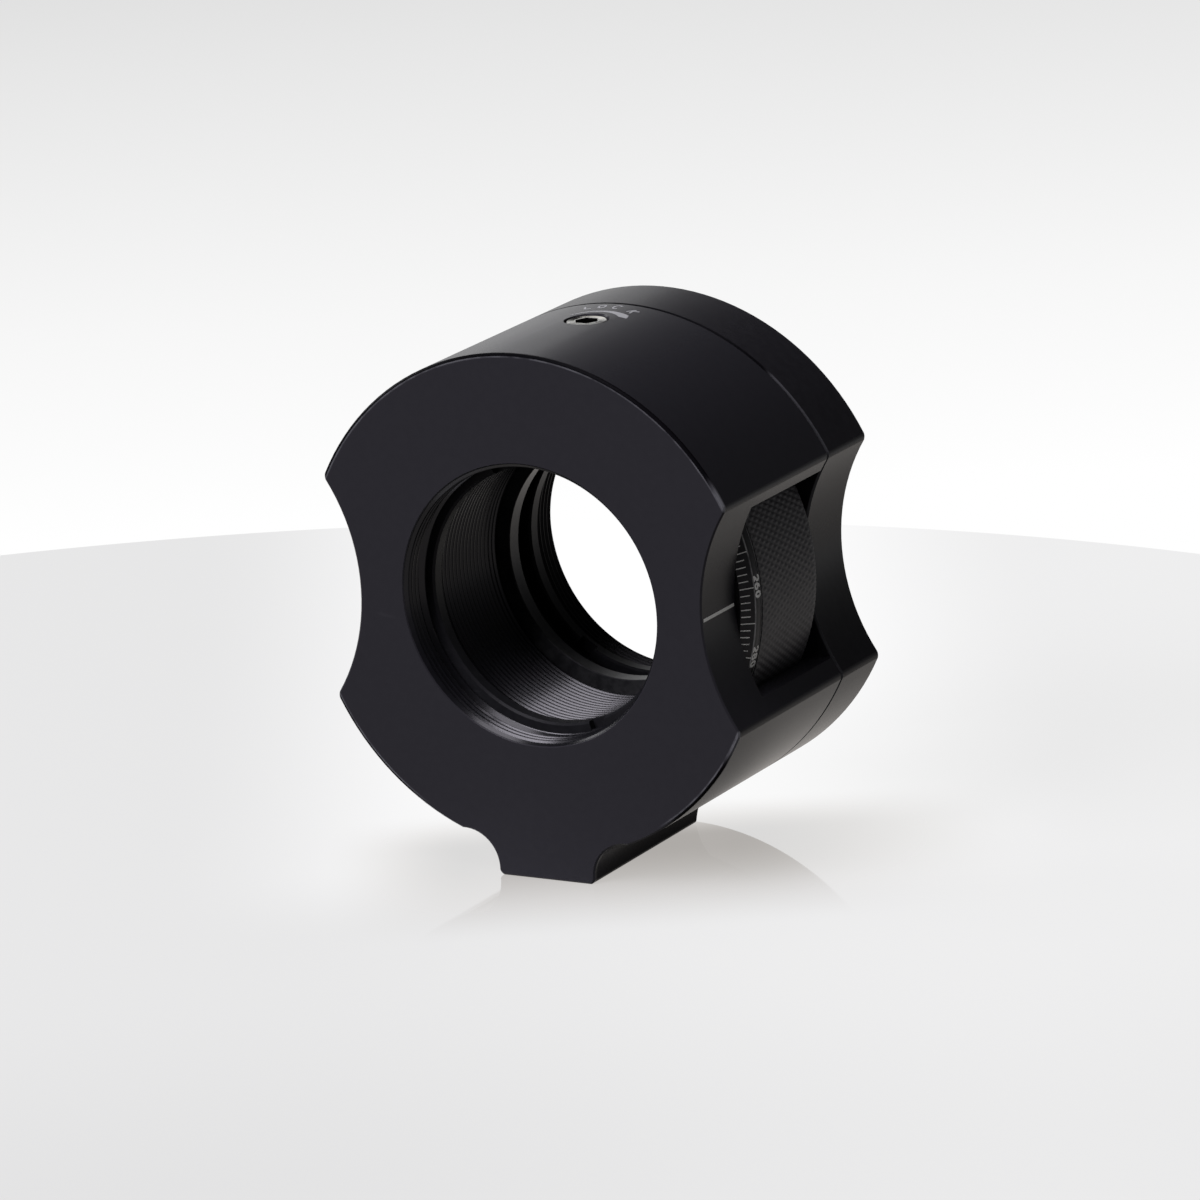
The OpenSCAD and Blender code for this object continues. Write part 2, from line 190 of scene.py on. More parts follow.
def round_axis(radius: np.ndarray, depth: np.ndarray, angle: np.ndarray) -> np.ndarray:
    """Places points by radius, depth and angle about the optical axis.

    The angle runs from +X towards +Z: x = radius cos(angle), z = axis height + radius sin(angle),
    and y is the front face's place plus the depth.

    Args:
        radius: Distances from the axis in millimetres.
        depth: Depths behind the front face in millimetres.
        angle: Angles in radians.

    Returns:
        The points in metres, one (x, y, z) for each element of the three arrays together.
    """
    radius, depth, angle = np.broadcast_arrays(radius, depth, angle)
    x = radius * np.cos(angle)
    y = FRONT_Y + depth
    z = AXIS_Z + radius * np.sin(angle)
    return np.stack([x, y, z], axis=-1) * MM


def turned_piece(name: str, profile: list[tuple[float, float]], columns: int) -> bpy.types.Object:
    """Turns a closed outline of (radius, depth) pairs about the optical axis.

    The outline runs counter-clockwise with radius to the right and depth upwards, so that the
    faces point outwards.

    Args:
        name: The piece's name.
        profile: Corners of the outline in millimetres.
        columns: Steps around the axis.

    Returns:
        The turned piece, a closed surface.
    """
    outline = np.array(profile)
    angle = np.linspace(0, 2 * np.pi, columns, endpoint=False)
    points = round_axis(outline[:, :1], outline[:, 1:], angle[None, :])
    quads = grid_quads(len(outline), columns, wrap_rows=True, wrap_columns=True)
    return mesh_object(name, points.reshape(-1, 3), quads[:, ::-1])


def bars(name: str, points: np.ndarray) -> bpy.types.Object:
    """Joins many thin bars of square section into one piece.

    Each bar is a row of cross-sections with four corners. Neighbouring sections join into walls,
    and the first and last section close the bar.

    Args:
        name: The piece's name.
        points: Array of bars x sections x 4 x 3, in metres.

    Returns:
        The joined piece.
    """
    count, sections = points.shape[:2]
    walls = grid_quads(sections, 4, wrap_rows=False, wrap_columns=True)
    last = 4 * (sections - 1)
    caps = np.array([[3, 2, 1, 0], [last, last + 1, last + 2, last + 3]])
    one = np.concatenate([walls[:, ::-1], caps[:, ::-1]])
    start = np.arange(count) * sections * 4
    quads = (start[:, None, None] + one[None]).reshape(-1, 4)
    return mesh_object(name, points.reshape(-1, 3), quads)


# ---------------------------------------------------------------------------------------------
# Engraved strokes


def even_points(path: np.ndarray, count: int) -> np.ndarray:
    """Spaces points evenly along a polyline, by linear interpolation over its length.

    Args:
        path: Corners of the polyline, one row each.
        count: Number of points.

    Returns:
        The points, one row each.
    """
    step = np.linalg.norm(np.diff(path, axis=0), axis=1)
    length = np.concatenate([[0], np.cumsum(step)])
    at = np.linspace(0, length[-1], count)
    return np.stack([np.interp(at, length, path[:, k]) for k in range(path.shape[1])], axis=1)


def oval(x: float, y: float, rx: float, ry: float, start: float, end: float) -> np.ndarray:
    """An arc of an oval: the middle plus (rx cos, ry sin) of an angle that runs evenly.

    Args:
        x: The middle's place to the right.
        y: The middle's height.
        rx: Half the oval's width.
        ry: Half the oval's height.
        start: Angle of the first point in degrees.
        end: Angle of the last point in degrees.

    Returns:
        The arc's points, one (x, y) each.
    """
    angle = np.radians(np.linspace(start, end, 40))
    return np.stack([x + rx * np.cos(angle), y + ry * np.sin(angle)], axis=1)


def line(*corners: tuple[float, float]) -> np.ndarray:
    """A polyline through corners, one row each."""
    return np.array(corners, dtype=float)


# Single-line engraver's alphabet in a cell 0.62 wide and 1 high
GLYPHS: dict[str, list[np.ndarray]] = {
    "0": [oval(0.31, 0.5, 0.29, 0.5, 90, 450)],
    "1": [line((0.08, 0.76), (0.34, 1.0), (0.34, 0.0))],
    "2": [np.concatenate([oval(0.31, 0.7, 0.28, 0.3, 165, -40), line((0.02, 0.0), (0.6, 0.0))])],
    "3": [oval(0.29, 0.75, 0.27, 0.25, 150, -90), oval(0.29, 0.25, 0.3, 0.25, 90, -150)],
    "4": [line((0.45, 0.0), (0.45, 1.0), (0.0, 0.3), (0.62, 0.3))],
    "6": [oval(0.31, 0.29, 0.29, 0.29, 0, 360), oval(0.6, 0.3, 0.58, 0.7, 180, 100)],
    "8": [oval(0.31, 0.76, 0.24, 0.24, -90, 270), oval(0.31, 0.27, 0.3, 0.27, 90, 450)],
    "L": [line((0.05, 1.0), (0.05, 0.0), (0.56, 0.0))],
    "O": [oval(0.31, 0.5, 0.3, 0.5, 90, 450)],
    "C": [oval(0.36, 0.5, 0.34, 0.5, 50, 310)],
    "K": [
        line((0.06, 0.0), (0.06, 1.0)),
        line((0.58, 1.0), (0.08, 0.42)),
        line((0.2, 0.56), (0.6, 0.0)),
    ],
}
CELL_WIDTH = 0.62
STROKE_SECTIONS = 26


def stroke_bar(path: np.ndarray, width: np.ndarray) -> np.ndarray:
    """Gives a flat stroke along a path its width and thickness.

    Each section's corners lie half the width to both sides of the path, square to its direction,
    at the heights of the paint's foot and top.

    Args:
        path: Points (u, v) along the stroke, in millimetres.
        width: Full width at each point.

    Returns:
        Array of sections x 4 x 3 with (u, v, height).
    """
    along = np.gradient(path, axis=0)
    along /= np.linalg.norm(along, axis=1, keepdims=True)
    side = np.stack([-along[:, 1], along[:, 0]], axis=1) * width[:, None] / 2
    left, right = path + side, path - side
    corners = [(left, MARK_FOOT), (right, MARK_FOOT), (right, MARK_TOP), (left, MARK_TOP)]
    flat = [np.column_stack([where, np.full(len(path), height)]) for where, height in corners]
    return np.stack(flat, axis=1)


@dataclass(frozen=True)
class Lettering:
    """Engraved characters of one height, with their stroke and spacing in millimetres."""

    height: float
    stroke: float
    pitch: float

    def strokes(self, character: str) -> list[np.ndarray]:
        """Works out a character's strokes about its own middle.

        Args:
            character: One of the alphabet's characters.

        Returns:
            Each stroke as an array of sections x 4 x 3 with (u, v, height).
        """
        middle = np.array([CELL_WIDTH / 2, 0.5])
        scale = self.height - self.stroke
        found = []
        for path in GLYPHS[character]:
            even = even_points((path - middle) * scale, STROKE_SECTIONS)
            width = np.full(STROKE_SECTIONS, self.stroke)
            found.append(stroke_bar(even, width))
        return found

    def word(self, text: str) -> list[np.ndarray]:
        """Works out a straight word about its own middle, reading along +u with +v upwards.

        Args:
            text: The word, whose characters stand a pitch apart.

        Returns:
            The strokes of all its characters.
        """
        found = []
        for place, character in enumerate(text):
            shift = np.array([(place - (len(text) - 1) / 2) * self.pitch, 0, 0])
            found += [bar + shift for bar in self.strokes(character)]
        return found


# ---------------------------------------------------------------------------------------------
# Shader node groups and finishes


def node_group(name: str, inputs: dict[str, float], outputs: list[str]) -> bpy.types.NodeTree:
    """Starts a shader node group with float inputs and float outputs.

    Args:
        name: The group's name.
        inputs: Each input's name and default value.
        outputs: The outputs' names.

    Returns:
        The group, with its input and output nodes named In and Out.
    """
    group = bpy.data.node_groups.new(name, "ShaderNodeTree")
    for socket, value in inputs.items():
        made = group.interface.new_socket(name=socket, in_out="INPUT", socket_type="NodeSocketFloat")
        made.default_value = value
    for socket in outputs:
        group.interface.new_socket(name=socket, in_out="OUTPUT", socket_type="NodeSocketFloat")
    group.nodes.new("NodeGroupInput").name = "In"
    group.nodes.new("NodeGroupOutput").name = "Out"
    return group


def opaque(colour: Colour) -> Tone:
    """A colour with full alpha, as the shader sockets take it."""
    return (*colour, 1.0)


class Wiring:
    """Short calls for placing and joining shader nodes in one tree."""

    def __init__(self, tree: bpy.types.NodeTree) -> None:
        """Keeps the tree that the calls work in."""
        self.tree = tree

    def node(
        self, kind: str, *values: Value | Colour | Tone | Vector, **settings: object
    ) -> bpy.types.Node:
        """Adds a node of a kind.

        Args:
            kind: The node's type name.
            *values: What feeds its inputs, in their order.
            **settings: Its properties by name.

        Returns:
            The new node.
        """
        made = self.tree.nodes.new(kind)
        for name, value in settings.items():
            setattr(made, name, value)
        for socket, value in zip(made.inputs, values):
            self.feed(socket, value)
        return made

    def join(self, source: Socket, target: Socket) -> None:
        """Links an output to an input."""
        self.tree.links.new(source, target)

    def feed(self, target: Socket, value: Value | Colour | Tone | Vector) -> None:
        """Links a socket to an input, or sets a plain value on it.

        Args:
            target: The input.
            value: An output to link, or a number, colour or vector.
        """
        if isinstance(value, Socket):
            self.join(value, target)
        else:
            target.default_value = value

    def math(self, operation: str, *values: Value) -> Socket:
        """The result of a Math node, given its operation and its inputs in order."""
        return self.node("ShaderNodeMath", *values, operation=operation).outputs[0]

    def ramp(
        self, value: Socket, low: Value, high: Value, to_low: float = 0.0, to_high: float = 1.0
    ) -> Socket:
        """Maps a value from one range to another with soft ends, and clamps it.

        Args:
            value: The value to map.
            low: Start of its range.
            high: End of its range.
            to_low: The result at low.
            to_high: The result at high.

        Returns:
            The mapped value.
        """
        made = self.node("ShaderNodeMapRange", interpolation_type="SMOOTHSTEP")
        self.feed(made.inputs["Value"], value)
        self.feed(made.inputs["From Min"], low)
        self.feed(made.inputs["From Max"], high)
        made.inputs["To Min"].default_value = to_low
        made.inputs["To Max"].default_value = to_high
        return made.outputs["Result"]

    def product(self, *values: Value) -> Socket:
        """Multiplies masks and numbers.

        Args:
            *values: The factors.

        Returns:
            Their product.
        """
        result = values[0]
        for value in values[1:]:
            result = self.math("MULTIPLY", result, value)
        return result

    def root_sum(self, *offsets: Socket) -> Socket:
        """The root of the summed squares of two offsets."""
        squares = [self.math("MULTIPLY", offset, offset) for offset in offsets]
        return self.math("SQRT", self.math("ADD", *squares))

    def blend(self, share: Socket, low: Tone | Socket, high: Tone) -> Socket:
        """Mixes two colours.

        Args:
            share: Share of the second colour.
            low: The first colour.
            high: The second colour.

        Returns:
            The mixed colour.
        """
        made = self.node("ShaderNodeMix", data_type="RGBA")
        for name, value in (("Factor", share), ("A", low), ("B", high)):
            self.feed(made.inputs[name], value)
        return made.outputs["Result"]

    def bump(
        self, height: Socket, distance: float, strength: float = 1.0, normal: Socket | None = None
    ) -> Socket:
        """Adds a bump on top of another one.

        Args:
            height: The height that tilts the surface.
            distance: Depth of the bump in metres.
            strength: Share of it that counts.
            normal: The normal of the bump below, where there is one.

        Returns:
            The new normal.
        """
        made = self.node("ShaderNodeBump")
        made.inputs["Strength"].default_value = strength
        made.inputs["Distance"].default_value = distance
        self.join(height, made.inputs["Height"])
        if normal is not None:
            self.join(normal, made.inputs["Normal"])
        return made.outputs["Normal"]

    def place(self) -> Socket:
        """The Object coordinates of the shaded point, in metres."""
        return self.node("ShaderNodeTexCoord").outputs["Object"]

    def along(self, axis: str) -> Socket:
        """The shaded point's Object coordinate along X, Y or Z, in metres."""
        return self.node("ShaderNodeSeparateXYZ", self.place()).outputs[axis]

    def noise(
        self, scale: Value, detail: float = 3.0, rough: float = 0.55, where: Socket | None = None
    ) -> Socket:
        """Adds three-dimensional noise.

        Args:
            scale: Waves per metre.
            detail: Number of finer layers.
            rough: Share that each finer layer adds.
            where: The coordinates that it is read at, or None for the Object coordinates.

        Returns:
            The noise, from 0 to 1.
        """
        made = self.node("ShaderNodeTexNoise")
        self.join(self.place() if where is None else where, made.inputs["Vector"])
        self.feed(made.inputs["Scale"], scale)
        made.inputs["Detail"].default_value = detail
        made.inputs["Roughness"].default_value = rough
        return made.outputs[0]

    def distance(self, one: str, one_at: float, two: str, two_at: float) -> Socket:
        """Distance of the shaded point from a line square to two of the axes.

        Args:
            one: The first axis, X, Y or Z.
            one_at: The line's place along it, in millimetres.
            two: The second axis.
            two_at: The line's place along it, in millimetres.

        Returns:
            The distance in metres, the root of the summed squares of both offsets.
        """
        sides = ((one, one_at), (two, two_at))
        return self.root_sum(*(self.math("SUBTRACT", self.along(axis), at * MM) for axis, at in sides))

    def axis_radius(self) -> Socket:
        """Distance of the shaded point from the optical axis, in metres."""
        return self.distance("X", 0.0, "Z", AXIS_Z)

    def socket_radius(self) -> Socket:
        """Distance of the shaded point from the lock screw's axis, in metres."""
        return self.distance("X", 0.0, "Y", LOCK_Y)

    def depth(self) -> Socket:
        """Depth of the shaded point behind the front face, in metres."""
        return self.math("SUBTRACT", self.along("Y"), FRONT_Y * MM)

    def rim_distance(self, radius: Value, depth: Value) -> Socket:
        """Distance of the shaded point from a circle about the optical axis.

        Args:
            radius: The circle's radius in metres.
            depth: Its depth behind the front face, in metres.

        Returns:
            The distance in metres.
        """
        along = self.math("SUBTRACT", self.depth(), depth)
        across = self.math("SUBTRACT", self.axis_radius(), radius)
        return self.root_sum(along, across)

    def clear_of_foot(self) -> Socket:
        """Mask of what lies above the foot's roots, which fades in over RIM_FADE from RIM_END."""
        return self.ramp(self.along("Z"), RIM_END * MM, (RIM_END + RIM_FADE) * MM)


def new_material(name: str) -> tuple[bpy.types.Material, Wiring, bpy.types.Node]:
    """Starts a material.

    Args:
        name: Its name.

    Returns:
        The material, the wiring of its nodes and its main shader.
    """
    made = bpy.data.materials.new(name)
    made.use_nodes = True
    return made, Wiring(made.node_tree), made.node_tree.nodes["Principled BSDF"]


def blasted_grain_group() -> bpy.types.NodeTree:
    """Fine even grain of a blasted or moulded skin.

    Height is noise at the given scale; Cloud is the same noise eight times coarser.

    Returns:
        The group, with the outputs Height and Cloud.
    """
    group = node_group("Blasted grain", {"Scale": 9000.0}, ["Height", "Cloud"])
    wire = Wiring(group)
    scale = group.nodes["In"].outputs["Scale"]
    out = group.nodes["Out"]
    wire.join(wire.noise(scale, 2.0, 0.5), out.inputs["Height"])
    wire.join(wire.noise(wire.math("DIVIDE", scale, 8.0), 4.0, 0.6), out.inputs["Cloud"])
    return group


def handling_group() -> bpy.types.NodeTree:
    """Broad smudges and sparse hairline rubs that handling leaves.

    Smudge is coarse noise pushed towards its ends. Rub keeps only the peaks of a stretched noise.

    Returns:
        The group, with the outputs Smudge and Rub.
    """
    group = node_group("Handling marks", {"Scale": 160.0, "Amount": 0.5}, ["Smudge", "Rub"])
    wire = Wiring(group)
    start = group.nodes["In"]
    out = group.nodes["Out"]
    broad = wire.ramp(wire.noise(start.outputs["Scale"], 5.0, 0.6), 0.38, 0.66)
    wire.join(wire.product(broad, start.outputs["Amount"]), out.inputs["Smudge"])
    mapping = wire.node("ShaderNodeMapping", wire.place())
    mapping.inputs["Rotation"].default_value = (0.5, 0.9, 0.3)
    mapping.inputs["Scale"].default_value = (60.0, 900.0, 240.0)
    peaks = wire.ramp(wire.noise(3.0, 2.0, 0.5, mapping.outputs[0]), 0.74, 0.84)
    wire.join(wire.product(peaks, start.outputs["Amount"]), out.inputs["Rub"])
    return group


def lathe_group() -> bpy.types.NodeTree:
    """Concentric turning marks about the optical axis.

    Height is one-dimensional noise over radius plus depth, so it is constant around the axis on
    turned faces and on turned cylinders alike.

    Returns:
        The group, with the output Height.
    """
    group = node_group("Turning marks", {"Scale": 14000.0}, ["Height"])
    wire = Wiring(group)
    track = wire.math("ADD", wire.axis_radius(), wire.depth())
    noise = wire.node("ShaderNodeTexNoise", noise_dimensions="1D")
    wire.join(wire.product(track, group.nodes["In"].outputs["Scale"]), noise.inputs["W"])
    noise.inputs["Scale"].default_value = 1.0
    noise.inputs["Detail"].default_value = 2.0
    wire.join(noise.outputs[0], group.nodes["Out"].inputs["Height"])
    return group


def rim_wear_group() -> bpy.types.NodeTree:
    """Mask of a turned rim, the edge between a cylinder and one flat face, broken up by noise.

    The mask falls off evenly with distance from the circle at Radius and depth Face, ends at Reach
    from it, and fades out where the foot stands under the barrel and the rim is no edge. It marks
    real rubbing on the cover's rear rim and painted highlights on the housing's and dial's edges.

    Returns:
        The group, with the output Mask.
    """
    group = node_group("Rim wear", {"Radius": 0.023, "Face": 0.0, "Reach": 0.0003}, ["Mask"])
    wire = Wiring(group)
    start = group.nodes["In"]
    away = wire.rim_distance(start.outputs["Radius"], start.outputs["Face"])
    near = wire.ramp(away, 0.0, start.outputs["Reach"], 1.0, 0.0)
    worn = wire.ramp(wire.noise(420.0, 4.0, 0.6), 0.3, 0.6)
    mask = wire.product(near, worn, wire.clear_of_foot())
    wire.join(mask, group.nodes["Out"].inputs["Mask"])
    return group


class Shop:
    """Holds the shared node groups and hands them to the finishes."""

    def __init__(self) -> None:
        """Builds each group once."""
        self.grain = blasted_grain_group()
        self.handling = handling_group()
        self.lathe = lathe_group()
        self.rim_wear = rim_wear_group()

    @staticmethod
    def insert(wire: Wiring, group: bpy.types.NodeTree, **values: float) -> bpy.types.Node:
        """Places a group in a material and sets its inputs.

        Args:
            wire: The material's wiring.
            group: The group to place.
            **values: Its inputs by name.

        Returns:
            The placed node.
        """
        made = wire.node("ShaderNodeGroup", node_tree=group)
        for name, value in values.items():
            made.inputs[name].default_value = value
        return made


# Strength of the grain's and turning marks' bumps, and the range of most of a noise's values
BUMP_STRENGTH = 0.6
MID_NOISE = (0.3, 0.7)

# Tint of the anodising dye's gloss, the colour of painted shade in dark lines, and how far on
# both sides of its start the part of such a line that is painted bright as a highlight fades in
DYE_TINT: Colour = (0.95, 0.93, 1.0)
SHADE: Colour = (0.0025, 0.0024, 0.003)
HIGHLIGHT_SPREAD = 0.7


@dataclass(frozen=True)
class Rim:
    """A turned edge line: its radius, its depth and how far the line reaches.

    Most are painted bright, as real rubbing on the cover's rear rim and as painted highlights on
    the housing's and dial's edges; the housing's shaded rim is a dark line of painted shade.
    """

    radius: float
    depth: float
    reach: float


@dataclass(frozen=True)
class Finish:
    """A surface finish: its colours, gloss, grain, worn marks and painted edge light and shade.

    Grain and turning marks have their depth in metres. The worn colour serves real rubbing and
    the painted highlights along edges, and the shaded rim is a dark line of painted shade. A seam
    is a depth and a reach of a dark line of painted shade, dish is the slope of the lock screw's
    end towards its socket, whose inside is then painted as shade, and the pair of foot heights
    holds the heights between which the foot's flanks lose their gloss, as painted shade.
    """

    name: str
    colour: Colour
    worn_colour: Colour
    metallic: float = 0.0
    roughness: float = 0.42
    roughness_swing: float = 0.08
    specular: float = 0.3
    tint: Colour = (1.0, 1.0, 1.0)
    grain_scale: float = 9000.0
    grain_depth: float = 0.000004
    lathe_depth: float = 0.0
    handling: float = 0.35
    cloud: float = 0.08
    rims: tuple[Rim, ...] = ()
    shaded_rim: Rim | None = None
    seam: tuple[float, float] | None = None
    rubbed_from: float = 0.0
    dish: float = 0.0
    dull_within: float = 0.0
    dull_below: tuple[float, float] | None = None

    def material(self, shop: Shop) -> bpy.types.Material:
        """Builds the finish as a material.

        Base colour runs from colour to the worn colour by real rubs and by rim lines, which are real
        rubbing on some rims and painted highlights on others, and drifts a little with the coarse
        grain. Roughness drifts with smudges. The shaded rim, the seam and the inside of the lock
        screw's socket are painted shade, dark and with little gloss, and what of them lies to the
        right of the highlight's start is painted bright instead, as a painted highlight.

        Args:
            shop: The shared node groups.

        Returns:
            The material.
        """
        made, wire, shader = new_material(self.name)
        shader.inputs["Metallic"].default_value = self.metallic
        shader.inputs["Specular Tint"].default_value = opaque(self.tint)
        shader.inputs["Specular IOR Level"].default_value = self.specular
        grain = shop.insert(wire, shop.grain, Scale=self.grain_scale)
        marks = shop.insert(wire, shop.handling, Amount=self.handling)
        wear_and_highlight = marks.outputs["Rub"]
        for rim in self.rims:
            sizes = {"Radius": rim.radius * MM, "Face": rim.depth * MM, "Reach": rim.reach * MM}
            edge = shop.insert(wire, shop.rim_wear, **sizes)
            wear_and_highlight = wire.math("MAXIMUM", wear_and_highlight, edge.outputs["Mask"])
        # Dark lines are painted shade; right of the highlight's start they are painted bright instead,
        # as a painted highlight
        dark = self.dark_line(wire)
        if dark is not None:
            near, far = (self.rubbed_from - HIGHLIGHT_SPREAD) * MM, (self.rubbed_from + HIGHLIGHT_SPREAD) * MM
            side = wire.ramp(wire.along("X"), near, far)
            wear_and_highlight = wire.math("MAXIMUM", wear_and_highlight, wire.product(dark, side))
            dark = wire.product(dark, wire.math("SUBTRACT", 1.0, side))
        cloud = wire.ramp(grain.outputs["Cloud"], *MID_NOISE, 0.0, self.cloud)
        share = wire.math("MINIMUM", wire.math("ADD", wear_and_highlight, cloud), 1.0)
        colour = wire.blend(share, opaque(self.colour), opaque(self.worn_colour))
        if dark is not None:
            colour = wire.blend(dark, colour, opaque(SHADE))
        wire.join(colour, shader.inputs["Base Color"])
        gloss = self.gloss_share(wire, dark)
        if gloss is not None:
            wire.join(wire.product(self.specular, gloss), shader.inputs["Specular IOR Level"])
        swing = wire.product(marks.outputs["Smudge"], self.roughness_swing)
        wire.join(wire.math("SUBTRACT", self.roughness, swing), shader.inputs["Roughness"])
        wire.join(self.relief(wire, shop, grain.outputs["Height"]), shader.inputs["Normal"])
        return made

    def gloss_share(self, wire: Wiring, dark: Socket | None) -> Socket | None:
        """Works out the share of the gloss that is left where the gloss is cut.

        It falls to a tenth in the dark lines of painted shade and on the flanks of the foot, as
        painted shade under the barrel, or to three tenths within dull_within of the optical axis, as
        on a thread's crests.

        Args:
            wire: The material's wiring.
            dark: The mask of the dark lines of painted shade, where there are any.

        Returns:
            The share, or None where the gloss is the same all over.
        """
        if dark is not None:
            return wire.ramp(wire.math("MAXIMUM", dark, self.foot_flanks(wire)), 0.0, 1.0, 1.0, 0.1)
        if self.dull_within > 0:
            near, far = self.dull_within * MM, (self.dull_within + 0.05) * MM
            return wire.ramp(wire.axis_radius(), near, far, 0.3, 1.0)
        return None

    def relief(self, wire: Wiring, shop: Shop, grain: Socket) -> Socket:
        """Stacks the bumps: the grain, the turning marks and the lock screw's dished end.

        Args:
            wire: The material's wiring.
            shop: The shared node groups.
            grain: The grain's height.

        Returns:
            The normal.
        """
        normal = wire.bump(grain, self.grain_depth, BUMP_STRENGTH)
        if self.lathe_depth > 0:
            height = shop.insert(wire, shop.lathe).outputs["Height"]
            normal = wire.bump(height, self.lathe_depth, BUMP_STRENGTH, normal)
        if self.dish > 0:
            out = wire.math("MAXIMUM", wire.socket_radius(), SOCKET_R * MM)
            normal = wire.bump(out, self.dish, normal=normal)
        return normal

    def foot_flanks(self, wire: Wiring) -> Value:
        """Masks the low surfaces behind the front face, whose gloss is cut as painted shade.

        The mask falls off from the lower to the upper of the finish's two foot heights, and begins
        between 0.2 and 0.6 mm behind the front face.

        Args:
            wire: The material's wiring.

        Returns:
            The mask, or nought where the finish has no foot heights.
        """
        if self.dull_below is None:
            return 0.0
        low, high = (height * MM for height in self.dull_below)
        under = wire.ramp(wire.along("Z"), low, high, 0.8, 0.0)
        return wire.product(under, wire.ramp(wire.depth(), 0.2 * MM, 0.6 * MM))

    def dark_line(self, wire: Wiring) -> Socket | None:
        """Masks the painted shade: the shaded rim, the seam or the inside of the lock screw's socket.

        The rim's and the seam's masks are whole near their lines and fall off beyond them. The
        seam's lies on the outer skin only: near the barrel's radius or near the hollow of the
        right scallop. The socket's covers what lies within its radius and under the screw's top.

        Args:
            wire: The material's wiring.

        Returns:
            The mask, or None where the finish has none of them.
        """
        if self.shaded_rim is not None:
            rim = self.shaded_rim
            away = wire.rim_distance(rim.radius * MM, rim.depth * MM)
            line_mask = wire.ramp(away, 0.75 * rim.reach * MM, rim.reach * MM, 1.0, 0.0)
            return wire.product(line_mask, wire.clear_of_foot())
        if self.seam is not None:
            middle, reach = (size * MM for size in self.seam)
            gap = wire.math("ABSOLUTE", wire.math("SUBTRACT", wire.depth(), middle))
            skin = wire.ramp(wire.axis_radius(), (BARREL_R - 0.35) * MM, (BARREL_R - 0.2) * MM)
            hollow = wire.distance("X", SCALLOP_AXIS[0], "Z", SCALLOP_AXIS[1])
            near, far = (SCALLOP_R + 0.1) * MM, (SCALLOP_R + 0.2) * MM
            skin = wire.math("MAXIMUM", skin, wire.ramp(hollow, near, far, 1.0, 0.0))
            return wire.product(wire.ramp(gap, reach, 1.4 * reach, 1.0, 0.0), skin)
        if self.dish > 0:
            near, far = (SCREW_TOP - 0.2) * MM, (SCREW_TOP - 0.1) * MM
            under = wire.ramp(wire.along("Z"), near, far, 0.8, 0.0)
            near, far = SOCKET_R * MM, (SOCKET_R + 0.1) * MM
            return wire.product(under, wire.ramp(wire.socket_radius(), near, far, 1.0, 0.0))
        return None


# Housing: a painted highlight along the front face's outer edge, a dark line of painted shade on the
# front rim's chamfer that turns into a painted highlight on the right, and painted shade on the foot's
# flanks, where the gloss is cut
HOUSING_BLACK = Finish(
    "housing black anodised",
    (0.0136, 0.0132, 0.0162),
    (0.07, 0.07, 0.078),
    roughness=0.27,
    specular=0.06,
    tint=DYE_TINT,
    handling=0.06,
    cloud=0.015,
    rims=(Rim(23.04, 0.0, 0.14),),
    shaded_rim=Rim(23.26, 0.14, 0.25),
    rubbed_from=19.5,
    dull_below=(4.6, 6.4),
)
# Cover: its rear rim is worn bright, and the seam is a dark line of painted shade that turns into a
# painted highlight on the right
COVER_BLACK = Finish(
    "cover black anodised",
    (0.0105, 0.01, 0.0122),
    (0.04, 0.04, 0.045),
    roughness=0.27,
    specular=0.05,
    tint=DYE_TINT,
    handling=0.15,
    rims=(Rim(23.3, 26.85, 0.3),),
    seam=(19.72, 0.12),
    rubbed_from=15.0,
)
# Dial: its bright worn colour mostly paints the highlights along both edges of the number band
DIAL_BLACK = Finish(
    "dial black anodised",
    (0.007, 0.007, 0.008),
    (0.5, 0.5, 0.51),
    roughness=0.38,
    specular=0.12,
    tint=DYE_TINT,
    cloud=0.02,
    handling=0.05,
    lathe_depth=0.000006,
    rims=(Rim(19.2, 7.4, 0.14), Rim(19.2, 8.5, 0.14)),
)
KNURL_BLACK = Finish(
    "knurl black anodised", (0.043, 0.042, 0.047), (0.09, 0.09, 0.095), roughness=0.55, specular=0.18
)
# Threads: black anodised, and darker than the housing as painted shade inside the bores
THREAD_BLACK = Finish(
    "thread black anodised",
    (0.003, 0.003, 0.0038),
    (0.015, 0.015, 0.018),
    roughness=0.22,
    specular=0.19,
    tint=DYE_TINT,
    grain_depth=0.0000003,
    handling=0.1,
    dull_within=12.83,
)
REAR_THREAD_BLACK = replace(THREAD_BLACK, name="rear thread black anodised", roughness=0.5)
RING_BLACK = Finish(
    "ring black anodised",
    (0.0055, 0.0055, 0.0065),
    (0.03, 0.03, 0.034),
    roughness=0.4,
    specular=0.06,
    tint=DYE_TINT,
    lathe_depth=0.000005,
)
GLIDE_BLACK = Finish(
    "glide ring acetal", (0.012, 0.012, 0.0125), (0.03, 0.03, 0.03), roughness=0.5, handling=0.1
)
SPRING_STEEL = Finish(
    "spring steel", (0.42, 0.42, 0.44), (0.55, 0.55, 0.56), metallic=1.0, roughness=0.3
)
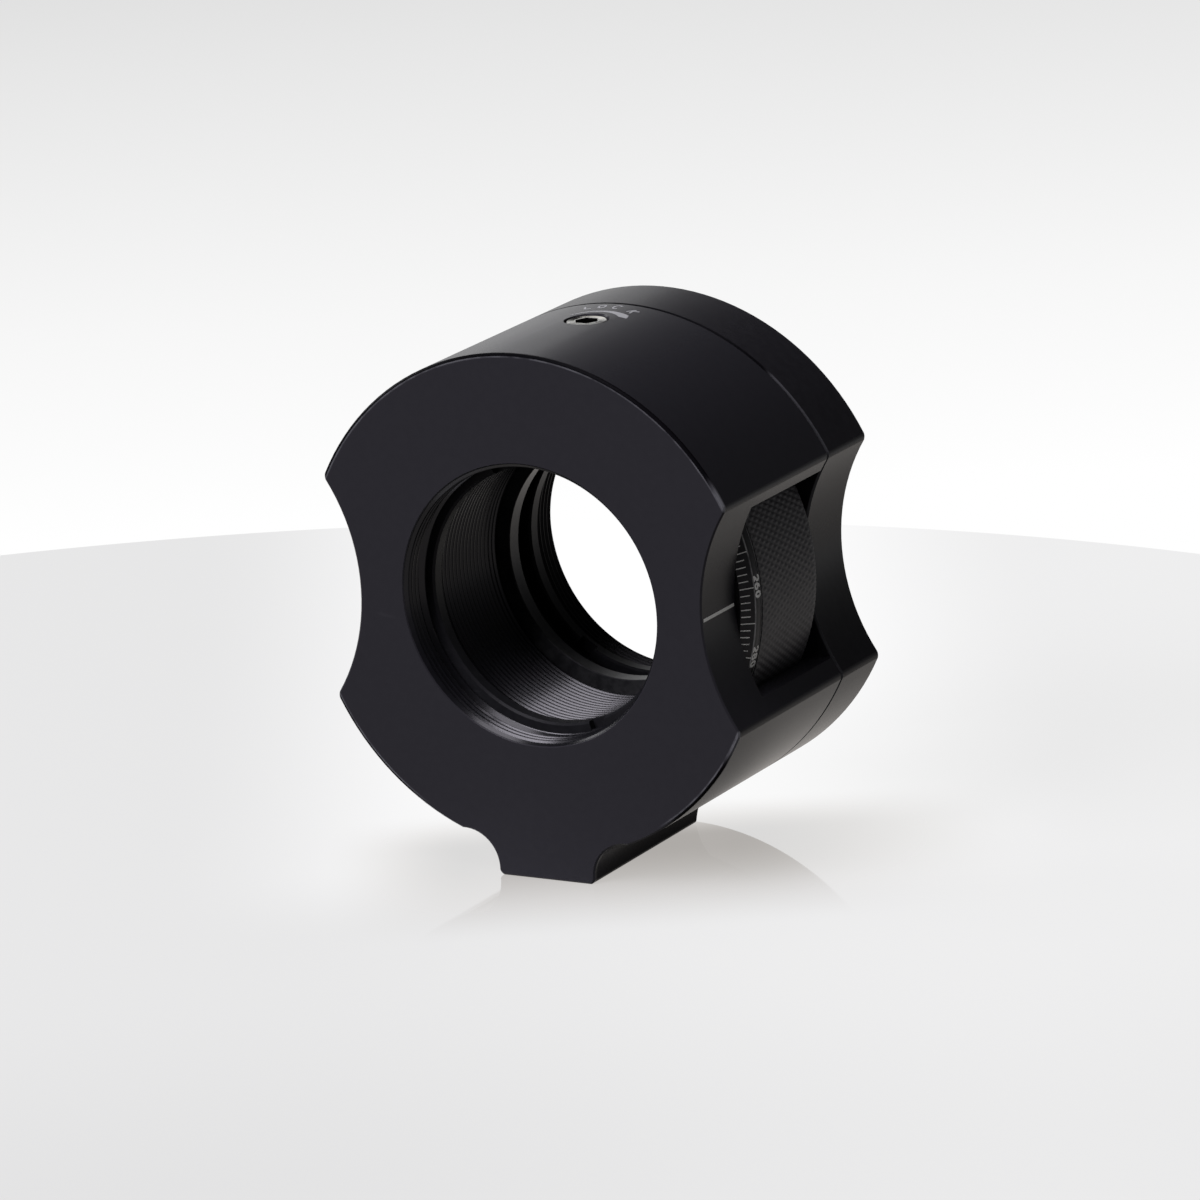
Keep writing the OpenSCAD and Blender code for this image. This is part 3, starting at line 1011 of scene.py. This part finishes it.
# Lock screw: the inside of its socket is painted as shade
LOCK_STEEL = Finish(
    "lock screw stainless",
    (0.3, 0.29, 0.27),
    (0.42, 0.41, 0.39),
    metallic=1.0,
    roughness=0.2,
    grain_scale=14000.0,
    grain_depth=0.000003,
    dish=0.27,
    rubbed_from=9.0,
)
PAD_NYLON = Finish(
    "lock pad nylon", (0.78, 0.76, 0.68), (0.6, 0.57, 0.5), roughness=0.5, handling=0.2
)
SCREW_BLACK = Finish(
    "cover screw black oxide", (0.035, 0.035, 0.037), (0.16, 0.16, 0.165), metallic=0.6, roughness=0.36
)
WHITE_PAINT = Finish(
    "engraving white", (0.95, 0.95, 0.93), (0.8, 0.8, 0.78), roughness=0.4, handling=0.2
)
GREY_PAINT = Finish(
    "engraving grey", (0.2, 0.2, 0.212), (0.12, 0.12, 0.13), roughness=0.5, handling=0.4
)


def dress(piece: bpy.types.Object, material: bpy.types.Material) -> None:
    """Gives every slot of a piece one material.

    Args:
        piece: The piece to dress.
        material: Its material.
    """
    if not piece.data.materials:
        piece.data.materials.append(material)
    for slot in piece.material_slots:
        slot.material = material


def hand_over(
    piece: bpy.types.Object, body: Body, material: bpy.types.Material
) -> bpy.types.Object:
    """Dresses a new piece and lets it ride on its body.

    Args:
        piece: The new piece.
        body: The body that it moves with.
        material: Its material.

    Returns:
        The piece.
    """
    dress(piece, material)
    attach(piece, body.value)
    LOG.info("%s: %d faces on %s", piece.name, len(piece.data.polygons), body.value)
    return piece


# ---------------------------------------------------------------------------------------------
# Sub-assemblies


@dataclass
class LensThread:
    """An internal right-hand 60 degree thread, laid as a thin liner into a plain bore."""

    name: str
    body: Body
    slot: Slot
    start: float
    end: float
    mouth_front: float
    mouth_rear: float
    root: float = 13.135
    crest: float = 12.8
    seat: float = 13.22
    pitch: float = 0.635
    columns: int = 224

    def build(self) -> bpy.types.Object:
        """Works out the helical surface.

        Row k of the grid follows the helix: its depth is the start plus a pitch times the row's
        share of a turn, less the angle's share of a turn, so that the thread climbs right-handed.
        The first row lies one turn before the start. The radius follows the flat crest, the flank,
        the flat root and the other flank, and is never under the cone that opens each mouth. Depths
        are held between start and end, where the liner turns outwards into the bore's wall, and a
        plain back closes it there. The last column joins the first one, whose rows lie one turn
        earlier.

        Returns:
            The liner.
        """
        steps = len(TURN_SHARE)
        turns = math.ceil((self.end - self.start) / self.pitch) + 2
        rows = turns * steps + 1
        row = np.arange(rows)
        along = row // steps + TURN_SHARE[row % steps] - 1
        angle = np.linspace(0, 2 * np.pi, self.columns, endpoint=False)
        climb = self.start + self.pitch * (along[:, None] - angle[None, :] / (2 * np.pi))
        depth = np.clip(climb, self.start, self.end)
        radius = self.root - (self.root - self.crest) * TURN_BITE[row % steps][:, None]
        radius = np.maximum(radius, self.mouth_front - (depth - self.start))
        radius = np.maximum(radius, self.mouth_rear - (self.end - depth))
        radius = np.where(climb <= self.start, max(self.seat, self.mouth_front), radius)
        radius = np.where(climb >= self.end, max(self.seat, self.mouth_rear), radius)
        points = round_axis(radius, depth, angle[None, :]).reshape(-1, 3)

        number = np.arange(rows * self.columns).reshape(rows, self.columns)
        quads = grid_quads(rows, self.columns, wrap_rows=False, wrap_columns=False)
        last, first = number[steps:, -1], number[:-steps, 0]
        seam = np.stack([last[:-1], first[:-1], first[1:], last[1:]], axis=-1)
        tail, head = number[-1], number[0]
        back = np.stack([tail, np.roll(tail, -1), np.roll(head, -1), head], axis=-1)
        quads = np.concatenate([quads, seam, back])
        flat = np.ptp(points[:, 1][quads], axis=1) < 1e-9
        return mesh_object(self.name, points, quads[~flat])


@dataclass
class DialRing:
    """The turned dial: sleeve, graduated bevel, number band and knurl."""

    nose: float = 2.9
    face: float = 6.4
    bevel_start_r: float = 18.2
    band_start: float = 7.4
    band_r: float = 19.2
    knurl_start: float = 8.5
    knurl_end: float = 18.7
    knurl_r: float = 19.4
    root_r: float = 19.28
    journal_r: float = 15.0
    cell_r: float = 13.2
    seat_start: float = 16.4
    seat_end: float = 18.05
    seat_r: float = 11.5
    tail: float = 20.6
    lines_around: int = 176
    knurl_pitch_along: float = 1.2
    samples: int = 6
    cross_cut: float = 0.75
    crest_flat: float = 0.35
    under_knurl: float = 0.1
    knurl_back: float = 0.16
    end_lift: float = 0.04
    index_value: float = 264.0
    index_angle: float = -0.11
    tick_step: float = 2.0
    tick_width: float = 0.095
    tick_start: float = 0.02
    tick_long: float = 0.94
    tick_short: float = 0.64
    number_step: int = 20
    edge_break: float = 0.08
    fine_break: float = 0.02

    def body(self) -> bpy.types.Object:
        """Turns the body without the knurl: sleeve, lens seat, bevel and number band.

        Returns:
            The body, a closed solid of revolution.
        """
        e = self.edge_break
        fine = self.fine_break
        under = self.root_r - self.under_knurl
        outline = [
            (self.cell_r + e, self.nose),
            (self.journal_r - e, self.nose),
            (self.journal_r, self.nose + e),
            (self.journal_r, self.face),
            (self.bevel_start_r - 2 * fine, self.face),
            (self.bevel_start_r, self.face + 1.5 * fine),
            (self.band_r - fine, self.band_start - fine),
            (self.band_r, self.band_start + fine),
            (self.band_r, self.knurl_start),
            (under, self.knurl_start),
            (under, self.knurl_end),
            (self.journal_r, self.knurl_end),
            (self.journal_r, self.tail - e),
            (self.journal_r - e, self.tail),
            (self.cell_r + e, self.tail),
            (self.cell_r, self.tail - e),
            (self.cell_r, self.seat_end),
            (self.seat_r + e, self.seat_end),
            (self.seat_r, self.seat_end - e),
            (self.seat_r, self.seat_start + e),
            (self.seat_r + e, self.seat_start),
            (self.cell_r, self.seat_start),
            (self.cell_r, self.nose + e),
        ]
        return turned_piece("dial_body", outline, 288)

    def knurl(self) -> bpy.types.Object:
        """The diamond knurl as a height field around the rim.

        Two families of grooves cross at 30 degrees to the axis. Each groove is a V whose depth
        falls off evenly from its middle, the first family has only the share cross_cut of the
        depth, and the deeper of the two counts. The radius is that of the crests less the groove's
        depth, and both ends fall off in a chamfer that sinks into the body.

        Returns:
            The knurl, a closed ring whose back lies inside the body.
        """
        columns = self.lines_around * self.samples
        step = self.knurl_pitch_along / self.samples
        inner = np.arange(self.knurl_start + step, self.knurl_end - step / 2, step)
        depth = np.concatenate([[self.knurl_start] * 2, inner, [self.knurl_end] * 2])
        angle = np.linspace(0, 2 * np.pi, columns, endpoint=False)
        around = angle[None, :] * self.lines_around / (2 * np.pi)
        along = ((depth - self.knurl_start) / self.knurl_pitch_along)[:, None]
        full = self.knurl_r - self.root_r
        share = [np.abs(2 * ((around + way * along) % 1.0) - 1) for way in (-1, 1)]
        cuts = [np.clip((1 + self.crest_flat) * s - self.crest_flat, 0, 1) for s in share]
        groove = full * np.maximum(self.cross_cut * cuts[0], cuts[1])
        end = np.minimum(depth - self.knurl_start, self.knurl_end - depth)[:, None]
        radius = np.minimum(self.knurl_r - groove, self.root_r + self.end_lift + end)
        radius[[0, -1]] = self.root_r - self.knurl_back
        points = round_axis(radius, depth[:, None], angle[None, :])
        quads = grid_quads(len(depth), columns, wrap_rows=True, wrap_columns=True)
        return mesh_object("dial_knurl", points.reshape(-1, 3), quads[:, ::-1])

    def value_angle(self, value: np.ndarray | float) -> np.ndarray | float:
        """Angle from +X towards +Z, in degrees, at which a value of the dial stands at rest."""
        return self.index_angle - (value - self.index_value)

    def ticks(self) -> bpy.types.Object:
        """The graduation on the bevel: a short line every 2 degrees and a long one every 10.

        Each line runs up the bevel from its front edge. Its section is a thin rectangle set across
        the bevel's slope, and its height stands square to the slope.

        Returns:
            All lines as one piece.
        """
        value = np.arange(0, 360, self.tick_step)
        long = np.isclose(value % 10, 0)
        slope = np.linspace(0, 1, 4)[None, :, None]
        reach = np.where(long, self.tick_long, self.tick_short)[:, None, None]
        run = self.tick_start + slope * reach
        across = BAR_ACROSS[None, None, :] * self.tick_width
        heights = np.array([MARK_FOOT, MARK_FOOT, MARK_TOP, MARK_TOP])
        lift = heights[None, None, :] / math.sqrt(2)
        radius = self.bevel_start_r + run + lift
        depth = self.face + run - lift
        centre = np.radians(self.value_angle(value))[:, None, None]
        angle = centre - across / radius
        return bars("dial_graduation", round_axis(radius, depth, angle))

    def numbers(self) -> bpy.types.Object:
        """The numbers on the band, every 20 degrees.

        They read down the right-hand side, with the tops of the digits to the rear: u runs down
        around the band and v runs along the axis.

        Returns:
            All numbers as one piece.
        """
        lettering = Lettering(height=1.0, stroke=0.23, pitch=0.74)
        middle = (self.band_start + self.knurl_start) / 2
        placed = []
        for value in range(0, 360, self.number_step):
            flat = np.array(lettering.word(str(value)))
            centre = math.radians(self.value_angle(value))
            angle = centre - flat[..., 0] / self.band_r
            placed.append(round_axis(self.band_r + flat[..., 2], middle + flat[..., 1], angle))
        return bars("dial_numbers", np.concatenate(placed))

    def build(self, shop: Shop) -> None:
        """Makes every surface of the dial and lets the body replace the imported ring.

        Args:
            shop: The shared node groups.
        """
        black = DIAL_BLACK.material(shop)
        knurled = KNURL_BLACK.material(shop)
        white = WHITE_PAINT.material(shop)
        body = hand_over(self.body(), Body.DIAL, black)
        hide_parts("dial_ring")
        hand_over(self.knurl(), Body.DIAL, knurled)
        hand_over(self.ticks(), Body.DIAL, white)
        hand_over(self.numbers(), Body.DIAL, white)
        thread = LensThread(
            "dial_cell_thread", Body.DIAL, Slot.DIAL, self.nose, self.seat_start, 13.26, 13.14
        )
        hand_over(thread.build(), thread.body, THREAD_BLACK.material(shop))


@dataclass
class Barrel:
    """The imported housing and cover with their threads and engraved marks."""

    index_start: float = 0.35
    index_end: float = 6.0
    index_width: float = 0.3
    index_foot: float = -0.06
    index_top: float = 0.004
    arrow_turns: tuple[float, ...] = (152, 95, 60, 42, 31)
    arrow_radii: tuple[float, ...] = (2.75, 2.95, 3.25, 3.45, 3.6)
    arrow_widths: tuple[float, ...] = (0.16, 0.34, 0.7, 1.0, 0.08)
    word_turns: tuple[float, ...] = (118, 102, 84, 58)
    word_r: float = 4.8

    def on_barrel(self, u: np.ndarray, v: np.ndarray, lift: np.ndarray) -> np.ndarray:
        """Wraps a flat mark around the top of the barrel.

        Args:
            u: Arc to the right of the top line, in millimetres.
            v: Distance behind the lock screw's axis.
            lift: Height above the barrel.

        Returns:
            The points in metres.
        """
        angle = np.pi / 2 - u / BARREL_R
        return round_axis(BARREL_R + lift, LOCK_Y - FRONT_Y + v, angle)

    def index_line(self) -> bpy.types.Object:
        """The white filling of the index groove, which follows the hollow of the scallop.

        Its x is the scallop axis's less the root of the scallop's squared radius less the squared
        height above that axis, plus the lift.

        Returns:
            The line.
        """
        depth = np.linspace(self.index_start, self.index_end, 6)[:, None]
        up = BAR_ACROSS[None, :] * self.index_width
        heights = (self.index_foot, self.index_foot, self.index_top, self.index_top)
        lift = np.array(heights)[None, :]
        rise = AXIS_Z + up - SCALLOP_AXIS[1]
        x = SCALLOP_AXIS[0] - np.sqrt(SCALLOP_R**2 - rise**2) + lift + 0 * depth
        y = FRONT_Y + depth + 0 * x
        z = AXIS_Z + up + 0 * x
        return bars("index_line", (np.stack([x, y, z], axis=-1) * MM)[None])

    def lock_arrow(self) -> bpy.types.Object:
        """The curved arrow behind the lock screw, which widens and opens out towards its head.

        Radius and width are interpolated over the turn about the screw's axis, and the head ends
        in a point.

        Returns:
            The arrow.
        """
        tail, *_, neck, tip = self.arrow_turns
        turn = np.concatenate([np.linspace(tail, neck, 27), np.linspace(neck, tip, 6)[1:]])
        angle = np.radians(turn)
        radius = np.interp(turn, self.arrow_turns[::-1], self.arrow_radii[::-1])
        path = np.stack([radius * np.cos(angle), radius * np.sin(angle)], axis=1)
        width = np.interp(turn, self.arrow_turns[::-1], self.arrow_widths[::-1])
        flat = stroke_bar(path, width)[None]
        return bars("lock_arrow", self.on_barrel(flat[..., 0], flat[..., 1], flat[..., 2]))

    def lock_word(self) -> bpy.types.Object:
        """The word over the arrow, set on an arc around the lock screw.

        Each character is lifted by the arc's radius and turned about the screw's axis by its turn
        less a right angle.

        Returns:
            The word.
        """
        lettering = Lettering(height=1.25, stroke=0.2, pitch=0.0)
        placed = []
        for character, turn in zip("LOCK", self.word_turns):
            flat = np.array(lettering.strokes(character))
            lean = math.radians(turn - 90)
            u = flat[..., 0] * math.cos(lean) - (flat[..., 1] + self.word_r) * math.sin(lean)
            v = flat[..., 0] * math.sin(lean) + (flat[..., 1] + self.word_r) * math.cos(lean)
            placed.append(self.on_barrel(u, v, flat[..., 2]))
        return bars("lock_word", np.concatenate(placed))

    def build(self, nodes: dict[str, bpy.types.Object], shop: Shop) -> None:
        """Dresses housing and cover and adds their threads and marks.

        Args:
            nodes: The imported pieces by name.
            shop: The shared node groups.
        """
        dress(nodes["front_housing"], HOUSING_BLACK.material(shop))
        dress(nodes["rear_cover"], COVER_BLACK.material(shop))
        white = WHITE_PAINT.material(shop)
        grey = GREY_PAINT.material(shop)
        hand_over(self.index_line(), Body.HOUSING, white)
        hand_over(self.lock_arrow(), Body.HOUSING, grey)
        hand_over(self.lock_word(), Body.HOUSING, grey)
        front = LensThread("housing_thread", Body.HOUSING, Slot.HOUSING, 0.02, 2.48, 13.24, 13.14)
        rear = LensThread("cover_thread", Body.HOUSING, Slot.COVER, 22.6, 26.88, 13.14, 13.24)
        for thread, finish in ((front, THREAD_BLACK), (rear, REAR_THREAD_BLACK)):
            hand_over(thread.build(), thread.body, finish.material(shop))


@dataclass
class Fittings:
    """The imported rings, screws, pad and spring, which keep their shapes."""

    def build(self, nodes: dict[str, bpy.types.Object], shop: Shop) -> None:
        """Gives each fitting its finish.

        Args:
            nodes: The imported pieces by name.
            shop: The shared node groups.
        """
        finishes = {
            "front_retaining_ring": RING_BLACK,
            "rear_retaining_ring": RING_BLACK,
            "front_glide_ring": GLIDE_BLACK,
            "rear_glide_ring": GLIDE_BLACK,
            "wave_spring": SPRING_STEEL,
            "lock_screw": LOCK_STEEL,
            "lock_pad": PAD_NYLON,
            **{f"cover_screw_{number}": SCREW_BLACK for number in range(1, 5)},
        }
        made = {finish.name: finish.material(shop) for finish in dict.fromkeys(finishes.values())}
        for name, finish in finishes.items():
            dress(nodes[name], made[finish.name])
            LOG.info("%s: %s", name, finish.name)


# ---------------------------------------------------------------------------------------------
# Studio


@dataclass(frozen=True)
class AreaLamp:
    """A soft lamp, wide by high in metres, that looks at a point."""

    name: str
    place: tuple[float, float, float]
    target: tuple[float, float, float]
    size: tuple[float, float]
    power: float
    colour: Colour = (1.0, 1.0, 1.0)

    def build(self) -> None:
        """Adds the lamp to the scene."""
        data = bpy.data.lights.new(self.name, "AREA")
        data.shape = "RECTANGLE"
        data.size, data.size_y = self.size
        data.energy = self.power
        data.color = self.colour
        lamp = add_object(self.name, data)
        lamp.location = self.place
        look = Vector(self.target) - Vector(self.place)
        lamp.rotation_euler = look.to_track_quat("-Z", "Y").to_euler()


@dataclass
class Studio:
    """The round table, the world, the lamps and the camera, with lengths in metres.

    The pairs of the lift, the glow and the mirror are ranges over which a share rises or falls,
    from the foot towards the camera for front and back, and to its right for left, right and side.
    The glow around the mount and the lift's rise to the right are painted light on the table, and
    its warmth is a painted warm reflection.
    """

    table_r: float = 0.1625
    table_centre: tuple[float, float] = (-0.0097, -0.0517)
    table_edge: float = 0.0012
    table_thick: float = 0.012
    camera_place: tuple[float, float, float] = (0.32416, -0.54668, 0.19920)
    camera_right: tuple[float, float, float] = (0.86828, 0.49211, -0.06255)
    camera_forward: tuple[float, float, float] = (-0.48972, 0.83022, -0.26629)
    lens: float = 217.401
    sensor: float = 36.0
    clip: tuple[float, float] = (0.01, 20.0)
    table_colour: Colour = (0.06, 0.06, 0.0604)
    table_warmth: Colour = (1.0, 0.95, 0.9)
    warm_share: float = 0.9
    gloss_waves: float = 30.0
    gloss_roughness: tuple[float, float] = (0.02, 0.05)
    table_lift: float = 0.704
    table_lift_right: float = 0.07
    lift_side: tuple[float, float] = (-0.04, 0.04)
    table_lift_front: float = 0.04
    lift_front: tuple[float, float] = (0.03, 0.09)
    glow: float = 0.19
    glow_right: float = 0.003
    glow_side: tuple[float, float] = (0.005, 0.045)
    glow_front: float = 0.022
    mirror: float = 0.55
    mirror_tint: Colour = (0.911, 0.956, 1.0)
    mirror_front: float = 0.026
    mirror_back: tuple[float, float] = (-0.014, -0.002)
    mirror_left: tuple[float, float] = (-0.026, -0.012)
    mirror_right: tuple[float, float] = (0.012, 0.04)
    ambient: float = 0.09
    fade: tuple[tuple[float, float], ...] = (
        (-0.253, 1.0),
        (-0.226, 0.93),
        (-0.191, 0.8),
        (-0.1, 0.4),
        (0.12, 0.18),
        (0.42, 0.04),
        (0.7, 0.02),
    )
    screen_side: tuple[float, float] = (0.93, 0.985)
    screen_foot: tuple[float, float] = (-0.15, 0.0)
    screen_top: tuple[float, float] = (0.08, 0.52)
    looked_at: tuple[float, float, float] = (0.0, 0.0, 0.02)

    def camera(self) -> None:
        """Adds the camera, turned by its right and forward directions."""
        data = bpy.data.cameras.new("camera")
        data.lens = self.lens
        data.sensor_width = self.sensor
        data.sensor_fit = "HORIZONTAL"
        data.clip_start, data.clip_end = self.clip
        right = Vector(self.camera_right).normalized()
        forward = Vector(self.camera_forward).normalized()
        up = right.cross(forward)
        turn = Matrix((right, up, -forward)).transposed()
        camera = add_object("camera", data)
        camera.matrix_world = Matrix.Translation(self.camera_place) @ turn.to_4x4()
        bpy.context.scene.camera = camera

    def table(self) -> bpy.types.Object:
        """Adds the pale round table top, a closed disc with a rounded rim.

        Returns:
            The table top.
        """
        shell = bmesh.new()
        bmesh.ops.create_cone(
            shell,
            cap_ends=True,
            segments=256,
            radius1=self.table_r,
            radius2=self.table_r,
            depth=self.table_thick,
            matrix=Matrix.Translation((*self.table_centre, -self.table_thick / 2)),
        )
        rims = [edge for edge in shell.edges if any(len(face.verts) > 4 for face in edge.link_faces)]
        bmesh.ops.bevel(shell, geom=rims, offset=self.table_edge, segments=4, affect="EDGES")
        mesh = bpy.data.meshes.new("table_top")
        shell.to_mesh(mesh)
        shell.free()
        top = add_object("table_top", mesh)
        return top

    @staticmethod
    def seen(wire: Wiring) -> Socket:
        """One for rays from the camera, from gloss and through glass, otherwise nought.

        Args:
            wire: The tree's wiring.

        Returns:
            The switch.
        """
        path = wire.node("ShaderNodeLightPath")
        direct = wire.math("MAXIMUM", path.outputs["Is Camera Ray"], path.outputs["Is Glossy Ray"])
        return wire.math("MAXIMUM", direct, path.outputs["Is Transmission Ray"])

    def across_table(self, wire: Wiring) -> tuple[Socket, Socket]:
        """Measures the shaded point's place on the table from the mount's foot.

        Args:
            wire: The material's wiring.

        Returns:
            The distances in metres towards the camera and to its right.
        """
        ahead = Vector(self.camera_forward[:2]).normalized()
        x, y = wire.along("X"), wire.along("Y")
        towards = wire.math("ADD", wire.product(x, -ahead.x), wire.product(y, -ahead.y))
        right = wire.math("ADD", wire.product(x, ahead.y), wire.product(y, -ahead.x))
        return towards, right

    def table_finish(self) -> bpy.types.Material:
        """Pale lacquer that mirrors the mount near its foot.

        The share of the mirror falls off evenly towards the camera, away from it and to both
        sides. The lacquer is lifted a little where it is seen, as an evenly pale floor, and more to
        the right and around the mount as painted light: over the lamps' shadow on the right and as
        a pool of light around the mount. It is lifted less towards the camera. Its glow is painted
        warm near the foot and in the mount's own gloss, as a painted warm reflection, and its gloss
        drifts faintly.

        Returns:
            The material.
        """
        made, wire, shader = new_material("table lacquer")
        shader.inputs["Base Color"].default_value = opaque(self.table_colour)
        shader.inputs["Specular IOR Level"].default_value = 0.0
        shader.inputs["Roughness"].default_value = 0.5
        towards, right = self.across_table(wire)
        share = wire.product(
            wire.ramp(towards, 0.0, self.mirror_front, self.mirror, 0.0),
            wire.ramp(towards, *self.mirror_back),
            wire.ramp(right, *self.mirror_left),
            wire.ramp(right, *self.mirror_right, 1.0, 0.0),
        )
        # Painted warm reflection: the glow turns warm near the foot and where the mount's gloss sees
        # it
        glossy = wire.node("ShaderNodeLightPath").outputs["Is Glossy Ray"]
        warm = wire.math("MAXIMUM", glossy, wire.product(share, self.warm_share / self.mirror))
        glow = wire.blend(warm, WHITE, opaque(self.table_warmth))
        wire.join(glow, shader.inputs["Emission Color"])
        # Painted light: the lift rises to the right over the lamps' shadow, and gathers in a pool
        # around the mount
        lifted_right = self.table_lift + self.table_lift_right
        lift = wire.ramp(right, *self.lift_side, self.table_lift, lifted_right)
        front = wire.ramp(towards, *self.lift_front, 0.0, self.table_lift_front)
        off = wire.math("ABSOLUTE", wire.math("SUBTRACT", right, self.glow_right))
        around = wire.ramp(off, *self.glow_side, self.glow, 0.0)
        ahead = wire.ramp(towards, 0.0, self.glow_front, 1.0, 0.0)
        lift = wire.math("ADD", wire.math("SUBTRACT", lift, front), wire.product(around, ahead))
        wire.join(wire.product(self.seen(wire), lift), shader.inputs["Emission Strength"])
        drift = wire.ramp(wire.noise(self.gloss_waves), *MID_NOISE, *self.gloss_roughness)
        gloss = wire.node("ShaderNodeBsdfGlossy", opaque(self.mirror_tint), drift)
        mixed = wire.node("ShaderNodeMixShader", share, shader.outputs[0], gloss.outputs[0])
        output = made.node_tree.nodes["Material Output"]
        wire.join(mixed.outputs[0], output.inputs["Surface"])
        return made

    def world(self) -> None:
        """A backdrop that is white at the table's edge and fades upwards, and an even dim light.

        What is seen follows the height of the direction through the stops of fade, from white where
        it looks down behind the table to a dim ceiling. Behind the mount, seen from the camera, the
        white goes on upwards as a screen, whose edges fall off evenly with height and direction.
        """
        world = bpy.data.worlds.new("studio")
        bpy.context.scene.world = world
        world.use_nodes = True
        tree = world.node_tree
        tree.nodes.clear()
        wire = Wiring(tree)
        way = wire.node("ShaderNodeTexCoord").outputs["Generated"]
        up = wire.node("ShaderNodeSeparateXYZ", way).outputs["Z"]
        low, high = self.fade[0][0], self.fade[-1][0]
        share = wire.node("ShaderNodeMapRange", up, low, high)
        fade = wire.node("ShaderNodeValToRGB", share.outputs["Result"])
        stops = fade.color_ramp.elements
        while len(stops) < len(self.fade):
            stops.new(0.5)
        for stop, (height, level) in zip(stops, self.fade):
            stop.position = (height - low) / (high - low)
            stop.color = opaque((level, level, level))
        kind = "ShaderNodeVectorMath"
        flat = wire.node(kind, way, (1.0, 1.0, 0.0), operation="MULTIPLY")
        flat = wire.node(kind, flat.outputs["Vector"], operation="NORMALIZE")
        ahead = Vector((*self.camera_forward[:2], 0.0)).normalized()
        match = wire.node(kind, flat.outputs["Vector"], ahead, operation="DOT_PRODUCT")
        screen = wire.product(
            wire.ramp(match.outputs["Value"], *self.screen_side),
            wire.ramp(up, *self.screen_foot),
            wire.ramp(up, *self.screen_top, 1.0, 0.0),
        )
        seen = wire.node("ShaderNodeBackground", wire.blend(screen, fade.outputs["Color"], WHITE))
        lit = wire.node("ShaderNodeBackground", WHITE, self.ambient)
        shaders = (lit.outputs[0], seen.outputs[0])
        mixed = wire.node("ShaderNodeMixShader", self.seen(wire), *shaders)
        wire.node("ShaderNodeOutputWorld", mixed.outputs[0])

    def build(self) -> None:
        """Sets up camera, table, surround and lamps, and the plain view transform."""
        self.camera()
        dress(self.table(), self.table_finish())
        self.world()
        middle = self.looked_at
        lamps = [
            AreaLamp("key", (-0.37, -0.72, 0.6), middle, (0.52, 0.32), 12.6, (0.97, 0.95, 1.0)),
            AreaLamp("top", (-0.1, -0.5, 0.9), middle, (0.5, 0.5), 7.6, (0.98, 0.96, 1.0)),
            AreaLamp("side", (-0.9, 0.1, 0.45), middle, (0.4, 0.4), 5.0),
            AreaLamp("rim", (-0.5, 0.55, 0.5), middle, (0.4, 0.4), 0.8),
            AreaLamp("fill", (0.8, -0.15, 0.25), middle, (0.4, 0.4), 0.15, (1.0, 0.95, 0.9)),
        ]
        for lamp in lamps:
            lamp.build()
        bpy.context.scene.view_settings.view_transform = "Standard"


def corners(box: tuple[Vector, Vector]) -> list[list[float]]:
    """Both corners of a box as plain lists."""
    return [list(corner) for corner in box]


def main() -> None:
    """Builds the dressed mount and its studio."""
    logging.basicConfig(level=logging.INFO, format="%(message)s")
    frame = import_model()
    nodes: dict[str, bpy.types.Object] = frame["nodes"]
    Studio().build()
    shop = Shop()
    Barrel().build(nodes, shop)
    DialRing().build(shop)
    Fittings().build(nodes, shop)


if __name__ == "__main__":
    main()
